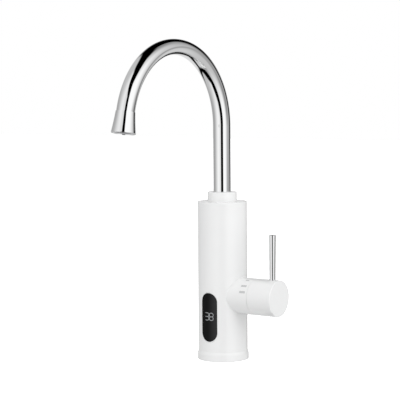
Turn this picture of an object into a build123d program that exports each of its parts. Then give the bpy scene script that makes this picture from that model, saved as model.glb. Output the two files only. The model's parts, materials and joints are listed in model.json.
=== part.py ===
from build123d import *
import os
from math import cos, pi, radians, sin, sqrt

os.makedirs("parts", exist_ok=True)

# An electric instant water heater tap, in millimetres.
# The origin is the centre of the base's underside, on the deck that the tap stands on.
# +Z is up, -Y is the front, where the spout and the display point, and +X is the handle.

# Clearances
slide_gap = 0.10        # a piston or a shaft in its own bore, on the radius
turn_gap = 0.07         # the spout's ferrule in its socket, on the radius
push_gap = 0.10         # pieces that are pushed or screwed together
free_gap = 0.35         # a turning piece past a fixed one
window_gap = 0.15       # around the display's lens and bezel
solder_gap = 0.05       # pieces that are brazed together
nozzle_gap = 0.15       # the nozzle and the aerator over the end of the tube
overcut = 1.0           # how far a cutting shape runs past what it cuts

# Housing
housing_radius = 30.0
housing_wall = 2.5
housing_top = 193.0
housing_top_wall = 3.0
housing_top_round = 0.9
housing_bore = housing_radius - housing_wall

# Base
ring_flare = 1.2
ring_height = 11.0
ring_round = 0.8
ring_slope = 3.5
ring_ledge = 2.0
ring_ledge_width = 1.6
plate_gap = 0.2
plate_height = ring_height - ring_ledge
gasket_height = 1.6
gasket_lead = 1.0
gasket_width = 1.6
inlet_thread_radius = 9.3       # G 1/2 socket, on the crests of its thread
inlet_thread_length = 10.2
inlet_relief = 0.4              # the washer's seat, past the end of the thread
inlet_washer_room = 0.3
inlet_washer_height = 1.5
plate_boss_hold = 10.0
plate_boss_wall = 2.2
stud_hole_radius = 2.5          # M6, tapped
stud_hole_depth = 7.0
stud_spacing = 35.0
screw_radius = 1.5
screw_head_radius = 2.4
screw_head_height = 2.0
screw_inset = 4.3
screw_tip_gap = 1.1
base_screw_sink = 0.4
screw_count = 3
socket_depth = 1.2
boss_radius = 3.2
boss_lead = 2.5
boss_height = 8.5
boss_root = 0.6
boss_roof = 1.5
gland_place = -19.0
gland_bore = 3.3
gland_wall = 0.85
gland_lip_radius = 5.2
gland_lip_height = 2.5
gland_sink = 0.6
earth_place = 14.0
earth_head_radius = 2.6
earth_head_height = 2.2
earth_depth = 5.0
earth_slot = 0.7
earth_slot_depth = 0.9

# Flow tube, with the piston that feels the water run
flow_tube_radius = 12.0
flow_bore = 9.0
flow_seat_bore = 6.0
flow_seat_height = 6.0
flow_roof = 2.0
neck_radius = 8.5
neck_length = 9.0
neck_entry = 4.0
seal_wire_radius = 0.9
seal_squeeze = 0.05
seal_low_place = 4.0
seal_high_place = 2.0
piston_height = 6.0
piston_stem_radius = 4.0
piston_stem_height = 10.0
piston_flute_width = 4.0
piston_flute_depth = 2.4
piston_flutes = 4
magnet_height = 5.0
magnet_radius = 8.7
spring_radius = 6.6
spring_wire_radius = 0.55
spring_turns = 6
spring_checks = 48
reed_radius = 2.0
reed_length = 18.0
reed_lift = 1.0
reed_round = 1.2
reed_side = -45.0
filter_height = 4.5
filter_wall = 0.5
filter_hole = 0.7
filter_hole_spacing = 2.1

# Side barrel, valve body and cartridge
barrel_height = 79.3
barrel_radius = 22.1
barrel_wall = 2.5
stub_length = 19.2
sleeve_length = 32.6
barrel_bore = barrel_radius - barrel_wall
valve_back = -16.0
valve_front = 18.0
valve_wall = 2.0
valve_corner = 2.5
valve_socket_wall = 3.0
valve_socket_length = 8.0
cartridge_radius = 12.0
cavity_start = 4.0
cartridge_seal_width = 1.5
disc_thickness = 3.0
disc_rim = 2.6
disc_face_gap = 0.05
port_radius = 2.2
port_place = 4.6
passage_radius = 3.0
passage_reach = 0.5
lower_boss_radius = 10.5
lower_boss_length = 8.0
upper_boss_ledge = 1.5
upper_boss_length = 10.0
spigot_radius = 6.5
spigot_length = 4.5
shoulder_length = 4.0
nose_radius = 9.0
nose_length = 14.0
spindle_radius = 5.0
spindle_flange = 3.2
spindle_length = 18.0
spindle_flat_depth = 1.9
spindle_chamfer = 0.5
nut_lip = 2.0

# Handle
sleeve_gap = 0.25
skirt_length = 4.5
skirt_wall = 1.6
sleeve_end_wall = 3.0
sleeve_edge_round = 1.0
seam_round = 0.15
hub_radius = 7.5
hub_lead = 3.0
hub_room = 1.0
skirt_root = 0.5
rod_inset = 9.65
rod_foot_radius = 3.7
rod_top_radius = 4.2
rod_height = 53.9
rod_edge_round = 0.8
rod_sink = 0.7
rod_screw_radius = 2.5
rod_screw_length = 8.0
rod_boss_radius = 5.5
grub_radius = 2.0
grub_lead = 11.0
grub_access = 2.6

# Heater vessel
vessel_seal_height = 1.0
vessel_gap = 6.5
vessel_wall = 1.2
tower_height = 18.0
flange_width = 4.2
flange_height = 1.5
vessel_gasket_height = 1.0
lid_height = 4.0
lid_screw_lead = 2.2
lid_screw_count = 4
lid_screw_length = 9.0
tower_shoulder = 1.7
tower_wall = 2.5
tower_room = 1.0
tower_thread_height = 5.0
tower_passage = 7.0
element_radius = 3.0
element_gap = 0.5
element_roof = 16.0
element_lift = 15.5
element_tail = 5.0
terminal_drop = 3.4
bead_radius = 2.3
bead_height = 2.2
tab_length = 4.0
tab_width = 3.0
tab_reach = 3.0
band_height = 5.0
band_thickness = 0.5
band_lift = 26.0
cutout_width = 14.0
cutout_height = 16.0
cutout_depth = 4.0
cutout_round = 1.5
probe_radius = 1.5
probe_inset = 2.9
probe_angle = 200.0
probe_length = 22.0
probe_head = 3.0
probe_round = 0.9

# Spout
tube_radius = 10.6
tube_wall = 0.9
riser_height = 91.0
bend_radius = 94.2
bend_angle = 169.5
bend_flattening = 1.45
bend_sections = 12
tube_tail = 4.0
ferrule_seat = 9.0
ferrule_length = 20.0
ferrule_wall = 1.08
ferrule_bore = 8.0
ferrule_flange_width = 1.67
ferrule_flange_height = 1.5
groove_depth = 1.5
groove_width = 2.2
groove_spacing = 4.0
groove_lead = 2.0
collar_wall = 3.5
collar_lip = 3.4
collar_round = 0.9
spout_washer_height = 1.1
spout_washer_room = 0.4

# Nozzle and aerator
nozzle_lead = 3.9
nozzle_length = 24.5
nozzle_wall = 0.4
nozzle_swell = 1.95
nozzle_middle = 17.4
nozzle_flare = 3.0
nozzle_rim_round = 0.7
nozzle_lip = 1.8
nozzle_recess = 2.5
aerator_lead = 0.6
aerator_wall = 1.75
aerator_flange_height = 1.8
aerator_washer_height = 1.4
aerator_washer_bore = 8.0
mesh_thickness = 0.6
mesh_hole = 1.3
mesh_spacing = 2.0

# Display
window_width = 24.1
window_bottom = 23.35
window_top = 84.65
bezel_width = 0.75
bezel_proud = 0.15
bezel_depth = 1.9
lens_sink = 0.05
lens_depth = 1.8
digit_height = 9.4
digit_width = 5.6
digit_stroke = 0.8
digit_gap = 1.1
digit_middle = 55.0
digit_depth = 0.35
digit_shift = 0.9
module_side = 0.2
module_end = 1.3
module_depth = 3.6
board_thickness = 1.6
display_board_width = 22.0
display_board_margin = 2.0
carrier_width = 24.6
carrier_margin = 2.4
carrier_rim = 0.9
carrier_depth = 4.7
carrier_leg_width = 12.0
carrier_leg_depth = 2.4

# Control electronics
board_width = 26.0
board_lift = 17.0
board_margin = 4.0
board_gap = 1.43
frame_width = 15.0
frame_depth = 1.5
frame_window_width = 7.5
frame_window_margin = 10.5
frame_gap = 4.0
relay_width = 18.0
relay_lift = 2.0
relay_height = 20.0
relay_gap = 0.9
relay_round = 1.0
capacitor_radius = 4.4
capacitor_gap = 4.1
capacitor_round = 0.6
triac_width = 10.0
triac_height = 15.0
triac_depth = 4.4
triac_tab = 5.0
triac_tab_thickness = 1.3
triac_drop = 11.0
triac_screw_length = 4.5
terminal_width = 12.0
terminal_gap = 1.5
terminal_depth = 9.0
terminal_lift = 15.0
terminal_height = 18.0
terminal_hole = 1.7
terminal_hole_depth = 10.8
terminal_poles = 3
lead_radius = 1.0
lead_inset = 5.4
lead_turn = 4.0
lead_drop = 12.0
ribbon_gap = 2.2
ribbon_thickness = 0.6
ribbon_width = 8.0
ribbon_lift = 2.0

# Sizes and places that follow from these, first the base and the flow tube
quarter_turn = 90
ring_radius = housing_radius + ring_flare
plate_radius = housing_bore - plate_gap
gasket_inner = plate_radius + gasket_lead
screw_ring_radius = housing_bore - screw_inset
boss_bottom = ring_height + boss_lead
screw_length = boss_bottom + boss_height - boss_roof - base_screw_sink - screw_tip_gap
inlet_washer_bottom = inlet_thread_length + inlet_washer_room
inlet_seat_radius = inlet_thread_radius + inlet_relief
tube_bottom = inlet_washer_bottom + inlet_washer_height
plate_boss_height = tube_bottom + plate_boss_hold

# The valve and its cartridge
valve_half = cartridge_radius + valve_wall
valve_socket_radius = cartridge_radius + valve_socket_wall
valve_socket_end = valve_front + valve_socket_length
nut_width = 2 * valve_socket_radius
disc_radius = cartridge_radius - disc_rim
valve_bottom = barrel_height - valve_half
valve_top = barrel_height + valve_half
upper_boss_radius = spigot_radius + upper_boss_ledge
disc_start = cavity_start + cartridge_seal_width
disc_meet = disc_start + disc_thickness
passage_end = port_place - port_radius - passage_reach
spindle_start = disc_meet + disc_face_gap + disc_thickness + disc_face_gap
shoulder_end = valve_socket_end + shoulder_length
nose_end = shoulder_end + nose_length
spindle_end = nose_end + spindle_length
spindle_flat = spindle_radius - spindle_flat_depth

# The flow tube stands between the base and the valve
neck_top = valve_bottom - lower_boss_length + neck_entry
tube_shoulder = neck_top - neck_length
flow_tube_length = tube_shoulder - tube_bottom
piston_bottom = tube_bottom + flow_seat_height
spring_top = tube_shoulder - flow_roof
magnet_top = piston_bottom + piston_height + magnet_height
seal_low = tube_bottom + seal_low_place
seal_high = neck_top - seal_high_place

# The handle
stub_end = housing_radius + stub_length
sleeve_start = stub_end + sleeve_gap
barrel_end = sleeve_start + sleeve_length
hub_start = nose_end + hub_lead
rod_place = barrel_end - rod_inset
rod_top = barrel_height + barrel_radius + rod_height
rod_seat = barrel_height + barrel_radius - rod_sink
grub_place = nose_end + grub_lead

# The spout's joint
ferrule_outside = tube_radius + solder_gap + ferrule_wall
ferrule_radius = ferrule_outside + turn_gap
ferrule_flange_radius = ferrule_outside + ferrule_flange_width
tower_thread_radius = ferrule_radius + tower_wall
tower_radius = tower_thread_radius + tower_shoulder
tower_top = housing_top + tower_thread_height
ferrule_bottom = tower_top - ferrule_length
tube_foot = ferrule_bottom + ferrule_seat
flange_bottom = tower_top + slide_gap
flange_top = flange_bottom + ferrule_flange_height
collar_lip_bottom = flange_top + spout_washer_room + spout_washer_height
collar_top = collar_lip_bottom + collar_lip
collar_radius = tower_thread_radius + collar_wall
bend_start = housing_top + riser_height

# The heater vessel, from the valve up to the tower of its lid
vessel_radius = housing_bore - vessel_gap
vessel_floor = valve_top + upper_boss_length + vessel_seal_height
inner_floor = vessel_floor + vessel_wall
lid_top = housing_top - housing_top_wall - tower_height
lid_bottom = lid_top - lid_height
vessel_top = lid_bottom - vessel_gasket_height
flange_radius = vessel_radius + flange_width
lid_screw_ring_radius = vessel_radius + lid_screw_lead
probe_ring_radius = vessel_radius - probe_inset
band_middle = vessel_floor + band_lift
element_ring_radius = upper_boss_radius + element_gap + element_radius
element_top = vessel_top - element_roof
element_low = vessel_floor + element_lift
element_end = vessel_floor - element_tail

# The nozzle and the aerator
nozzle_bore = tube_radius + nozzle_gap
nozzle_top_radius = nozzle_bore + nozzle_wall
nozzle_middle_radius = nozzle_top_radius + nozzle_swell
nozzle_rim_radius = nozzle_top_radius + nozzle_flare
nozzle_recess_radius = nozzle_rim_radius - nozzle_lip
aerator_top = tube_tail + aerator_lead + aerator_washer_height
aerator_bore = nozzle_bore - push_gap - aerator_wall

# The display and the electronics
window_middle = (window_bottom + window_top) / 2
frame_top = vessel_floor - frame_gap
board_top = frame_top - board_margin
board_bottom = plate_height + board_lift
board_middle = (board_bottom + board_top) / 2
board_front = sqrt(housing_bore ** 2 - (board_width / 2) ** 2) - board_thickness - board_gap
relay_bottom = board_bottom + relay_lift
relay_face = flow_tube_radius + relay_gap
capacitor_height = relay_bottom + relay_height + capacitor_gap + capacitor_radius
triac_bottom = barrel_height - triac_drop
triac_screw_height = triac_bottom + triac_height + triac_tab / 2
terminal_back = terminal_gap - housing_bore
terminal_bottom = plate_height + terminal_lift
lead_column = terminal_back + lead_inset
lead_spread = terminal_width / terminal_poles
ribbon_radius = housing_bore - ribbon_gap
ribbon_bottom = board_bottom + ribbon_lift

# The arch ends at this point, and the nozzle follows its last direction.
bend_turn = radians(bend_angle)
outlet_point = (0, bend_radius * (cos(bend_turn) - 1), bend_start + bend_radius * sin(bend_turn))
outlet_way = Vector(0, -sin(bend_turn), cos(bend_turn))


def outlet_plane(distance):
    """The plane across the nozzle at a distance past the end of the bend."""
    middle = Vector(*outlet_point) + outlet_way * distance
    return Plane(origin=middle, x_dir=(1, 0, 0), z_dir=outlet_way)


def bend_plane(share):
    """The plane across the spout at a share of the bend."""
    turn = bend_turn * share
    middle = (0, bend_radius * (cos(turn) - 1), bend_start + bend_radius * sin(turn))
    return Plane(origin=middle, x_dir=(1, 0, 0), z_dir=(0, -sin(turn), cos(turn)))


def gooseneck(inset):
    """The spout's solid run, with the slight flattening that bending gives a round tube."""
    with BuildPart() as run:
        for step in range(bend_sections + 1):
            share = step / bend_sections
            flat = bend_flattening * sin(pi * share)
            with BuildSketch(bend_plane(share)):
                Ellipse(tube_radius + flat * 0.6 - inset, tube_radius - flat - inset)
        loft()
        with BuildSketch(Plane.XY.offset(tube_foot)):
            Circle(tube_radius - inset)
        extrude(amount=bend_start - tube_foot)
        with BuildSketch(outlet_plane(0)):
            Circle(tube_radius - inset)
        extrude(amount=tube_tail)
    return run.part


def on_circle(radius, angle):
    """A point of the plan, at a radius and an angle in degrees from +X."""
    return (radius * cos(radians(angle)), radius * sin(radians(angle)))


def helix_point(radius, rise, bottom, turn):
    """A point of a coil and its direction there, at a number of turns from its foot."""
    angle = 2 * pi * turn
    point = Vector(radius * cos(angle), radius * sin(angle), bottom + rise * turn)
    way = Vector(-radius * sin(angle), radius * cos(angle), rise / (2 * pi)).normalized()
    return point, way


# Base

with BuildPart() as base_ring:
    with BuildSketch(Plane.XY):
        Circle(ring_radius)
    extrude(amount=ring_height - ring_slope)
    fillet(base_ring.faces().sort_by(Axis.Z)[0].edges(), ring_round)
    with BuildSketch(Plane.XY.offset(ring_height - ring_slope)):
        Circle(ring_radius)
    with BuildSketch(Plane.XY.offset(ring_height)):
        Circle(housing_radius)
    loft()
    with BuildSketch(Plane.XY):
        Circle(plate_radius + push_gap)
    extrude(amount=ring_height, mode=Mode.SUBTRACT)
    with BuildSketch(Plane.XY.offset(plate_height)):
        Circle(plate_radius + 2 * push_gap)
        Circle(plate_radius - ring_ledge_width, mode=Mode.SUBTRACT)
    extrude(amount=ring_ledge)
    with BuildSketch(Plane.XY):
        Circle(gasket_inner + gasket_width + push_gap)
        Circle(gasket_inner - push_gap, mode=Mode.SUBTRACT)
    extrude(amount=gasket_height, mode=Mode.SUBTRACT)
base_ring.part.label = "base_ring"
export_step(base_ring.part, "parts/base_ring.step")

with BuildPart() as base_gasket:
    with BuildSketch(Plane.XY):
        Circle(gasket_inner + gasket_width)
        Circle(gasket_inner, mode=Mode.SUBTRACT)
    extrude(amount=gasket_height)
base_gasket.part.label = "base_gasket"
export_step(base_gasket.part, "parts/base_gasket.step")

with BuildPart() as base_plate:
    with BuildSketch(Plane.XY):
        Circle(plate_radius)
    extrude(amount=plate_height)
    with BuildSketch(Plane.XY.offset(plate_height)):
        Circle(flow_tube_radius + push_gap + plate_boss_wall)
    extrude(amount=plate_boss_height - plate_height)
    with BuildSketch(Plane.XY):
        Circle(inlet_thread_radius)
    extrude(amount=inlet_thread_length, mode=Mode.SUBTRACT)
    with BuildSketch(Plane.XY.offset(inlet_thread_length)):
        Circle(inlet_seat_radius)
    extrude(amount=tube_bottom - inlet_thread_length, mode=Mode.SUBTRACT)
    with BuildSketch(Plane.XY.offset(tube_bottom)):
        Circle(flow_tube_radius + push_gap)
    extrude(amount=plate_boss_height - tube_bottom, mode=Mode.SUBTRACT)
    with BuildSketch(Plane.XY):
        with PolarLocations(screw_ring_radius, screw_count):
            Circle(screw_radius + push_gap)
    extrude(amount=plate_height, mode=Mode.SUBTRACT)
    with BuildSketch(Plane.XY):
        with PolarLocations(screw_ring_radius, screw_count):
            Circle(screw_head_radius + push_gap)
    extrude(amount=base_screw_sink + screw_head_height, mode=Mode.SUBTRACT)
    with BuildSketch(Plane.XY):
        with GridLocations(0, stud_spacing, 1, 2):
            Circle(stud_hole_radius)
    extrude(amount=stud_hole_depth, mode=Mode.SUBTRACT)
    with BuildSketch(Plane.XY):
        with Locations((gland_place, 0)):
            Circle(gland_bore + gland_wall + solder_gap)
    extrude(amount=plate_height, mode=Mode.SUBTRACT)
    with BuildSketch(Plane.XY.offset(plate_height - earth_depth)):
        with Locations((earth_place, -earth_place)):
            Circle(screw_radius + solder_gap)
    extrude(amount=earth_depth, mode=Mode.SUBTRACT)
base_plate.part.label = "base_plate"
export_step(base_plate.part, "parts/base_plate.step")

with BuildPart() as base_screws:
    with BuildSketch(Plane.XY.offset(base_screw_sink)):
        with PolarLocations(screw_ring_radius, screw_count):
            Circle(screw_head_radius)
    extrude(amount=screw_head_height)
    with BuildSketch(Plane.XY.offset(base_screw_sink)):
        with PolarLocations(screw_ring_radius, screw_count):
            Circle(screw_radius)
    extrude(amount=screw_length)
    with BuildSketch(Plane.XY.offset(base_screw_sink)):
        with PolarLocations(screw_ring_radius, screw_count):
            RegularPolygon(screw_radius, 6)
    extrude(amount=socket_depth, mode=Mode.SUBTRACT)
base_screws.part.label = "base_screws"
export_step(base_screws.part, "parts/base_screws.step")

with BuildPart() as cable_gland:
    with BuildSketch(Plane.XY.offset(gland_sink)):
        with Locations((gland_place, 0)):
            Circle(gland_bore + gland_wall)
    extrude(amount=plate_height - gland_sink)
    with BuildSketch(Plane.XY.offset(plate_height)):
        with Locations((gland_place, 0)):
            Circle(gland_lip_radius - solder_gap)
    extrude(amount=gland_lip_height)
    with BuildSketch(Plane.XY.offset(gland_sink)):
        with Locations((gland_place, 0)):
            Circle(gland_bore)
    extrude(amount=plate_height + gland_lip_height, mode=Mode.SUBTRACT)
    with BuildSketch(Plane.XY.offset(plate_height)):
        Circle(flow_tube_radius + 2 * push_gap + plate_boss_wall)
    extrude(amount=gland_lip_height, mode=Mode.SUBTRACT)
cable_gland.part.label = "cable_gland"
export_step(cable_gland.part, "parts/cable_gland.step")

with BuildPart() as earth_screw:
    with BuildSketch(Plane.XY.offset(plate_height)):
        with Locations((earth_place, -earth_place)):
            Circle(earth_head_radius)
    extrude(amount=earth_head_height)
    with BuildSketch(Plane.XY.offset(plate_height - earth_depth + push_gap)):
        with Locations((earth_place, -earth_place)):
            Circle(screw_radius)
    extrude(amount=earth_depth)
    with BuildSketch(Plane.XY.offset(plate_height + earth_head_height)):
        with Locations((earth_place, -earth_place)):
            Rectangle(2 * earth_head_radius, earth_slot)
            Rectangle(earth_slot, 2 * earth_head_radius)
    extrude(amount=-earth_slot_depth, mode=Mode.SUBTRACT)
earth_screw.part.label = "earth_screw"
export_step(earth_screw.part, "parts/earth_screw.step")

with BuildPart() as inlet_washer:
    with BuildSketch(Plane.XY.offset(inlet_washer_bottom)):
        Circle(inlet_seat_radius - push_gap)
        Circle(flow_seat_bore, mode=Mode.SUBTRACT)
    extrude(amount=inlet_washer_height)
inlet_washer.part.label = "inlet_washer"
export_step(inlet_washer.part, "parts/inlet_washer.step")

# Water path, up to the valve

with BuildPart() as inlet_filter:
    with BuildSketch(Plane.XY.offset(tube_bottom + filter_wall)):
        Circle(flow_seat_bore - push_gap)
    extrude(amount=filter_height)
    with BuildSketch(Plane.XY.offset(tube_bottom + filter_wall)):
        Circle(flow_seat_bore - push_gap - filter_wall)
    extrude(amount=filter_height - filter_wall, mode=Mode.SUBTRACT)
    with BuildSketch(Plane.XY.offset(tube_bottom + filter_height)):
        Circle(filter_hole)
        for ring in (1, 2):
            with PolarLocations(ring * filter_hole_spacing, 6 * ring):
                Circle(filter_hole)
    extrude(amount=2 * filter_wall, mode=Mode.SUBTRACT)
inlet_filter.part.label = "inlet_filter"
export_step(inlet_filter.part, "parts/inlet_filter.step")

with BuildPart() as flow_tube:
    with BuildSketch(Plane.XY.offset(tube_bottom)):
        Circle(flow_tube_radius)
    extrude(amount=flow_tube_length)
    with BuildSketch(Plane.XY.offset(tube_shoulder)):
        Circle(neck_radius)
    extrude(amount=neck_length)
    with BuildSketch(Plane.XY.offset(tube_bottom)):
        Circle(flow_seat_bore)
    extrude(amount=flow_tube_length + neck_length, mode=Mode.SUBTRACT)
    with BuildSketch(Plane.XY.offset(piston_bottom)):
        Circle(flow_bore)
    extrude(amount=spring_top - piston_bottom, mode=Mode.SUBTRACT)
    with BuildSketch(Plane.XY.offset(seal_low - seal_wire_radius)):
        Circle(flow_tube_radius + overcut)
        Circle(flow_tube_radius - 2 * seal_wire_radius + push_gap + seal_squeeze, mode=Mode.SUBTRACT)
    extrude(amount=2 * seal_wire_radius, mode=Mode.SUBTRACT)
    with BuildSketch(Plane.XY.offset(seal_high - seal_wire_radius)):
        Circle(neck_radius + overcut)
        Circle(neck_radius - 2 * seal_wire_radius + push_gap + seal_squeeze, mode=Mode.SUBTRACT)
    extrude(amount=2 * seal_wire_radius, mode=Mode.SUBTRACT)
flow_tube.part.label = "flow_tube"
export_step(flow_tube.part, "parts/flow_tube.step")

with BuildPart() as flow_tube_seals:
    for outside, height in ((flow_tube_radius, seal_low), (neck_radius, seal_high)):
        with BuildSketch(Plane.XZ):
            with Locations((outside + push_gap - seal_wire_radius, height)):
                Circle(seal_wire_radius - seal_squeeze)
        revolve(axis=Axis.Z)
flow_tube_seals.part.label = "flow_tube_seals"
export_step(flow_tube_seals.part, "parts/flow_tube_seals.step")

with BuildPart() as flow_piston:
    with BuildSketch(Plane.XY.offset(piston_bottom)):
        Circle(flow_bore - slide_gap)
    extrude(amount=piston_height)
    with BuildSketch(Plane.XY.offset(piston_bottom + piston_height)):
        Circle(piston_stem_radius)
    extrude(amount=piston_stem_height)
    with BuildSketch(Plane.XY.offset(piston_bottom)):
        with PolarLocations(flow_bore, piston_flutes):
            Rectangle(2 * piston_flute_depth, piston_flute_width)
    extrude(amount=piston_height, mode=Mode.SUBTRACT)
flow_piston.part.label = "flow_piston"
export_step(flow_piston.part, "parts/flow_piston.step")

with BuildPart() as flow_magnet:
    with BuildSketch(Plane.XY.offset(piston_bottom + piston_height)):
        Circle(magnet_radius)
        Circle(piston_stem_radius + solder_gap, mode=Mode.SUBTRACT)
    extrude(amount=magnet_height)
flow_magnet.part.label = "flow_magnet"
export_step(flow_magnet.part, "parts/flow_magnet.step")

# The spring is one unbroken wire on biarcs of a quarter turn each.
spring_foot = magnet_top + spring_wire_radius + push_gap
spring_rise = (spring_top - push_gap - spring_wire_radius - spring_foot) / spring_turns
spring_start, spring_way = helix_point(spring_radius, spring_rise, spring_foot, 0)
with BuildPart() as flow_spring:
    with BuildLine() as spring_path:
        for quarter in range(4 * spring_turns):
            here, way = helix_point(spring_radius, spring_rise, spring_foot, quarter / 4)
            there, end_way = helix_point(spring_radius, spring_rise, spring_foot, (quarter + 1) / 4)
            span = there - here
            both = way + end_way
            turn_share = 2 * (1 - way.dot(end_way))
            along = span.dot(both)
            reach = (sqrt(along * along + turn_share * span.dot(span)) - along) / turn_share
            meet = (here + there + (way - end_way) * reach) * 0.5
            meet_way = (there - end_way * reach) - (here + way * reach)
            TangentArc(here, meet, tangent=way)
            TangentArc(meet, there, tangent=meet_way)
    with BuildSketch(Plane(origin=spring_start, z_dir=spring_way)):
        Circle(spring_wire_radius)
    sweep(path=spring_path.line)
flow_spring.part.label = "flow_spring"
export_step(flow_spring.part, "parts/flow_spring.step")

spring_points = [
    helix_point(spring_radius, spring_rise, spring_foot, step / spring_checks)[0]
    for step in range(spring_checks * spring_turns + 1)
]
spring_gap = min(
    (spring_points[low] - spring_points[high]).length
    for low in range(len(spring_points))
    for high in range(low + spring_checks // 2, len(spring_points))
) - 2 * spring_wire_radius
print("flow spring, least gap to itself", round(spring_gap, 2), "mm")

with BuildPart() as reed_switch:
    with BuildSketch(Plane.XY.offset(plate_boss_height + reed_lift)):
        with Locations(on_circle(flow_tube_radius + reed_radius + push_gap, reed_side)):
            Circle(reed_radius)
    extrude(amount=reed_length)
    fillet(reed_switch.edges().filter_by(GeomType.CIRCLE), reed_round)
reed_switch.part.label = "reed_switch"
export_step(reed_switch.part, "parts/reed_switch.step")

# Valve and cartridge

with BuildPart() as valve_body:
    with BuildSketch(Plane.YZ.offset(valve_back)):
        with Locations((0, barrel_height)):
            RectangleRounded(2 * valve_half, 2 * valve_half, valve_corner)
    extrude(amount=valve_front - valve_back)
    with BuildSketch(Plane.YZ.offset(valve_front)):
        with Locations((0, barrel_height)):
            Circle(valve_socket_radius)
    extrude(amount=valve_socket_end - valve_front)
    with BuildSketch(Plane.XY.offset(valve_bottom)):
        Circle(lower_boss_radius)
    extrude(amount=-lower_boss_length)
    with BuildSketch(Plane.XY.offset(valve_top)):
        Circle(upper_boss_radius)
    extrude(amount=upper_boss_length)
    with BuildSketch(Plane.XY.offset(valve_top + upper_boss_length)):
        Circle(spigot_radius)
    extrude(amount=spigot_length)
    with BuildSketch(Plane.YZ.offset(cavity_start)):
        with Locations((0, barrel_height)):
            Circle(cartridge_radius + push_gap)
    extrude(amount=valve_socket_end - cavity_start, mode=Mode.SUBTRACT)
    with BuildSketch(Plane.XY.offset(valve_bottom - lower_boss_length)):
        Circle(neck_radius + push_gap)
    extrude(amount=neck_top - valve_bottom + lower_boss_length, mode=Mode.SUBTRACT)
    with BuildSketch(Plane.XY.offset(neck_top)):
        Circle(passage_radius)
    extrude(amount=barrel_height - passage_end - neck_top, mode=Mode.SUBTRACT)
    with BuildSketch(Plane.XY.offset(barrel_height + passage_end)):
        Circle(passage_radius)
    extrude(amount=valve_half + upper_boss_length + spigot_length, mode=Mode.SUBTRACT)
    with BuildSketch(Plane.YZ):
        with Locations((0, barrel_height - port_place), (0, barrel_height + port_place)):
            Circle(port_radius)
    extrude(amount=cavity_start, mode=Mode.SUBTRACT)
    with BuildSketch(Plane.XZ.offset(-valve_half)):
        with Locations((0, triac_screw_height)):
            Circle(screw_radius + solder_gap)
    extrude(amount=triac_screw_length, mode=Mode.SUBTRACT)
valve_body.part.label = "valve_body"
export_step(valve_body.part, "parts/valve_body.step")

with BuildPart() as cartridge_seal:
    with BuildSketch(Plane.YZ.offset(cavity_start)):
        with Locations((0, barrel_height)):
            Circle(cartridge_radius - solder_gap)
        with Locations((0, barrel_height - port_place), (0, barrel_height + port_place)):
            Circle(port_radius + push_gap, mode=Mode.SUBTRACT)
    extrude(amount=cartridge_seal_width)
cartridge_seal.part.label = "cartridge_seal"
export_step(cartridge_seal.part, "parts/cartridge_seal.step")

with BuildPart() as fixed_ceramic_disc:
    with BuildSketch(Plane.YZ.offset(disc_start)):
        with Locations((0, barrel_height)):
            Circle(disc_radius)
        with Locations((0, barrel_height - port_place), (0, barrel_height + port_place)):
            Circle(port_radius, mode=Mode.SUBTRACT)
    extrude(amount=disc_thickness)
fixed_ceramic_disc.part.label = "fixed_ceramic_disc"
export_step(fixed_ceramic_disc.part, "parts/fixed_ceramic_disc.step")

with BuildPart() as moving_ceramic_disc:
    with BuildSketch(Plane.YZ.offset(disc_meet + disc_face_gap)):
        with Locations((0, barrel_height)):
            Circle(disc_radius)
    extrude(amount=disc_thickness)
    with BuildSketch(Plane.YZ.offset(disc_meet + disc_face_gap)):
        with Locations((0, barrel_height)):
            SlotOverall(2 * (port_place + port_radius), 2 * port_radius)
    extrude(amount=disc_thickness / 2, mode=Mode.SUBTRACT)
moving_ceramic_disc.part.label = "moving_ceramic_disc"
export_step(moving_ceramic_disc.part, "parts/moving_ceramic_disc.step")

with BuildPart() as cartridge_body:
    with BuildSketch(Plane.YZ.offset(disc_start)):
        with Locations((0, barrel_height)):
            Circle(cartridge_radius)
    extrude(amount=shoulder_end - disc_start)
    with BuildSketch(Plane.YZ.offset(shoulder_end)):
        with Locations((0, barrel_height)):
            Circle(nose_radius)
    extrude(amount=nose_end - shoulder_end)
    with BuildSketch(Plane.YZ.offset(disc_start)):
        with Locations((0, barrel_height)):
            Circle(disc_radius + slide_gap)
    extrude(amount=spindle_start + spindle_flange + push_gap - disc_start, mode=Mode.SUBTRACT)
    with BuildSketch(Plane.YZ.offset(spindle_start)):
        with Locations((0, barrel_height)):
            Circle(spindle_radius + slide_gap)
    extrude(amount=nose_end - spindle_start, mode=Mode.SUBTRACT)
cartridge_body.part.label = "cartridge_body"
export_step(cartridge_body.part, "parts/cartridge_body.step")

with BuildPart() as cartridge_spindle:
    with BuildSketch(Plane.YZ.offset(spindle_start)):
        with Locations((0, barrel_height)):
            Circle(disc_radius)
    extrude(amount=spindle_flange)
    with BuildSketch(Plane.YZ.offset(spindle_start + spindle_flange)):
        with Locations((0, barrel_height)):
            Circle(spindle_radius)
    extrude(amount=spindle_end - spindle_start - spindle_flange)
    with BuildSketch(Plane.YZ.offset(nose_end)):
        with Locations((0, barrel_height - spindle_flat - spindle_radius / 2)):
            Rectangle(2 * spindle_radius, spindle_radius)
    extrude(amount=spindle_end - nose_end, mode=Mode.SUBTRACT)
    with BuildSketch(Plane.YZ.offset(shoulder_end)):
        with Locations((0, barrel_height)):
            Circle(spindle_radius)
            Circle(spindle_radius - groove_depth / 2, mode=Mode.SUBTRACT)
    extrude(amount=groove_width, mode=Mode.SUBTRACT)
    chamfer(cartridge_spindle.faces().sort_by(Axis.X)[-1].edges(), spindle_chamfer)
cartridge_spindle.part.label = "cartridge_spindle"
export_step(cartridge_spindle.part, "parts/cartridge_spindle.step")

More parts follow.
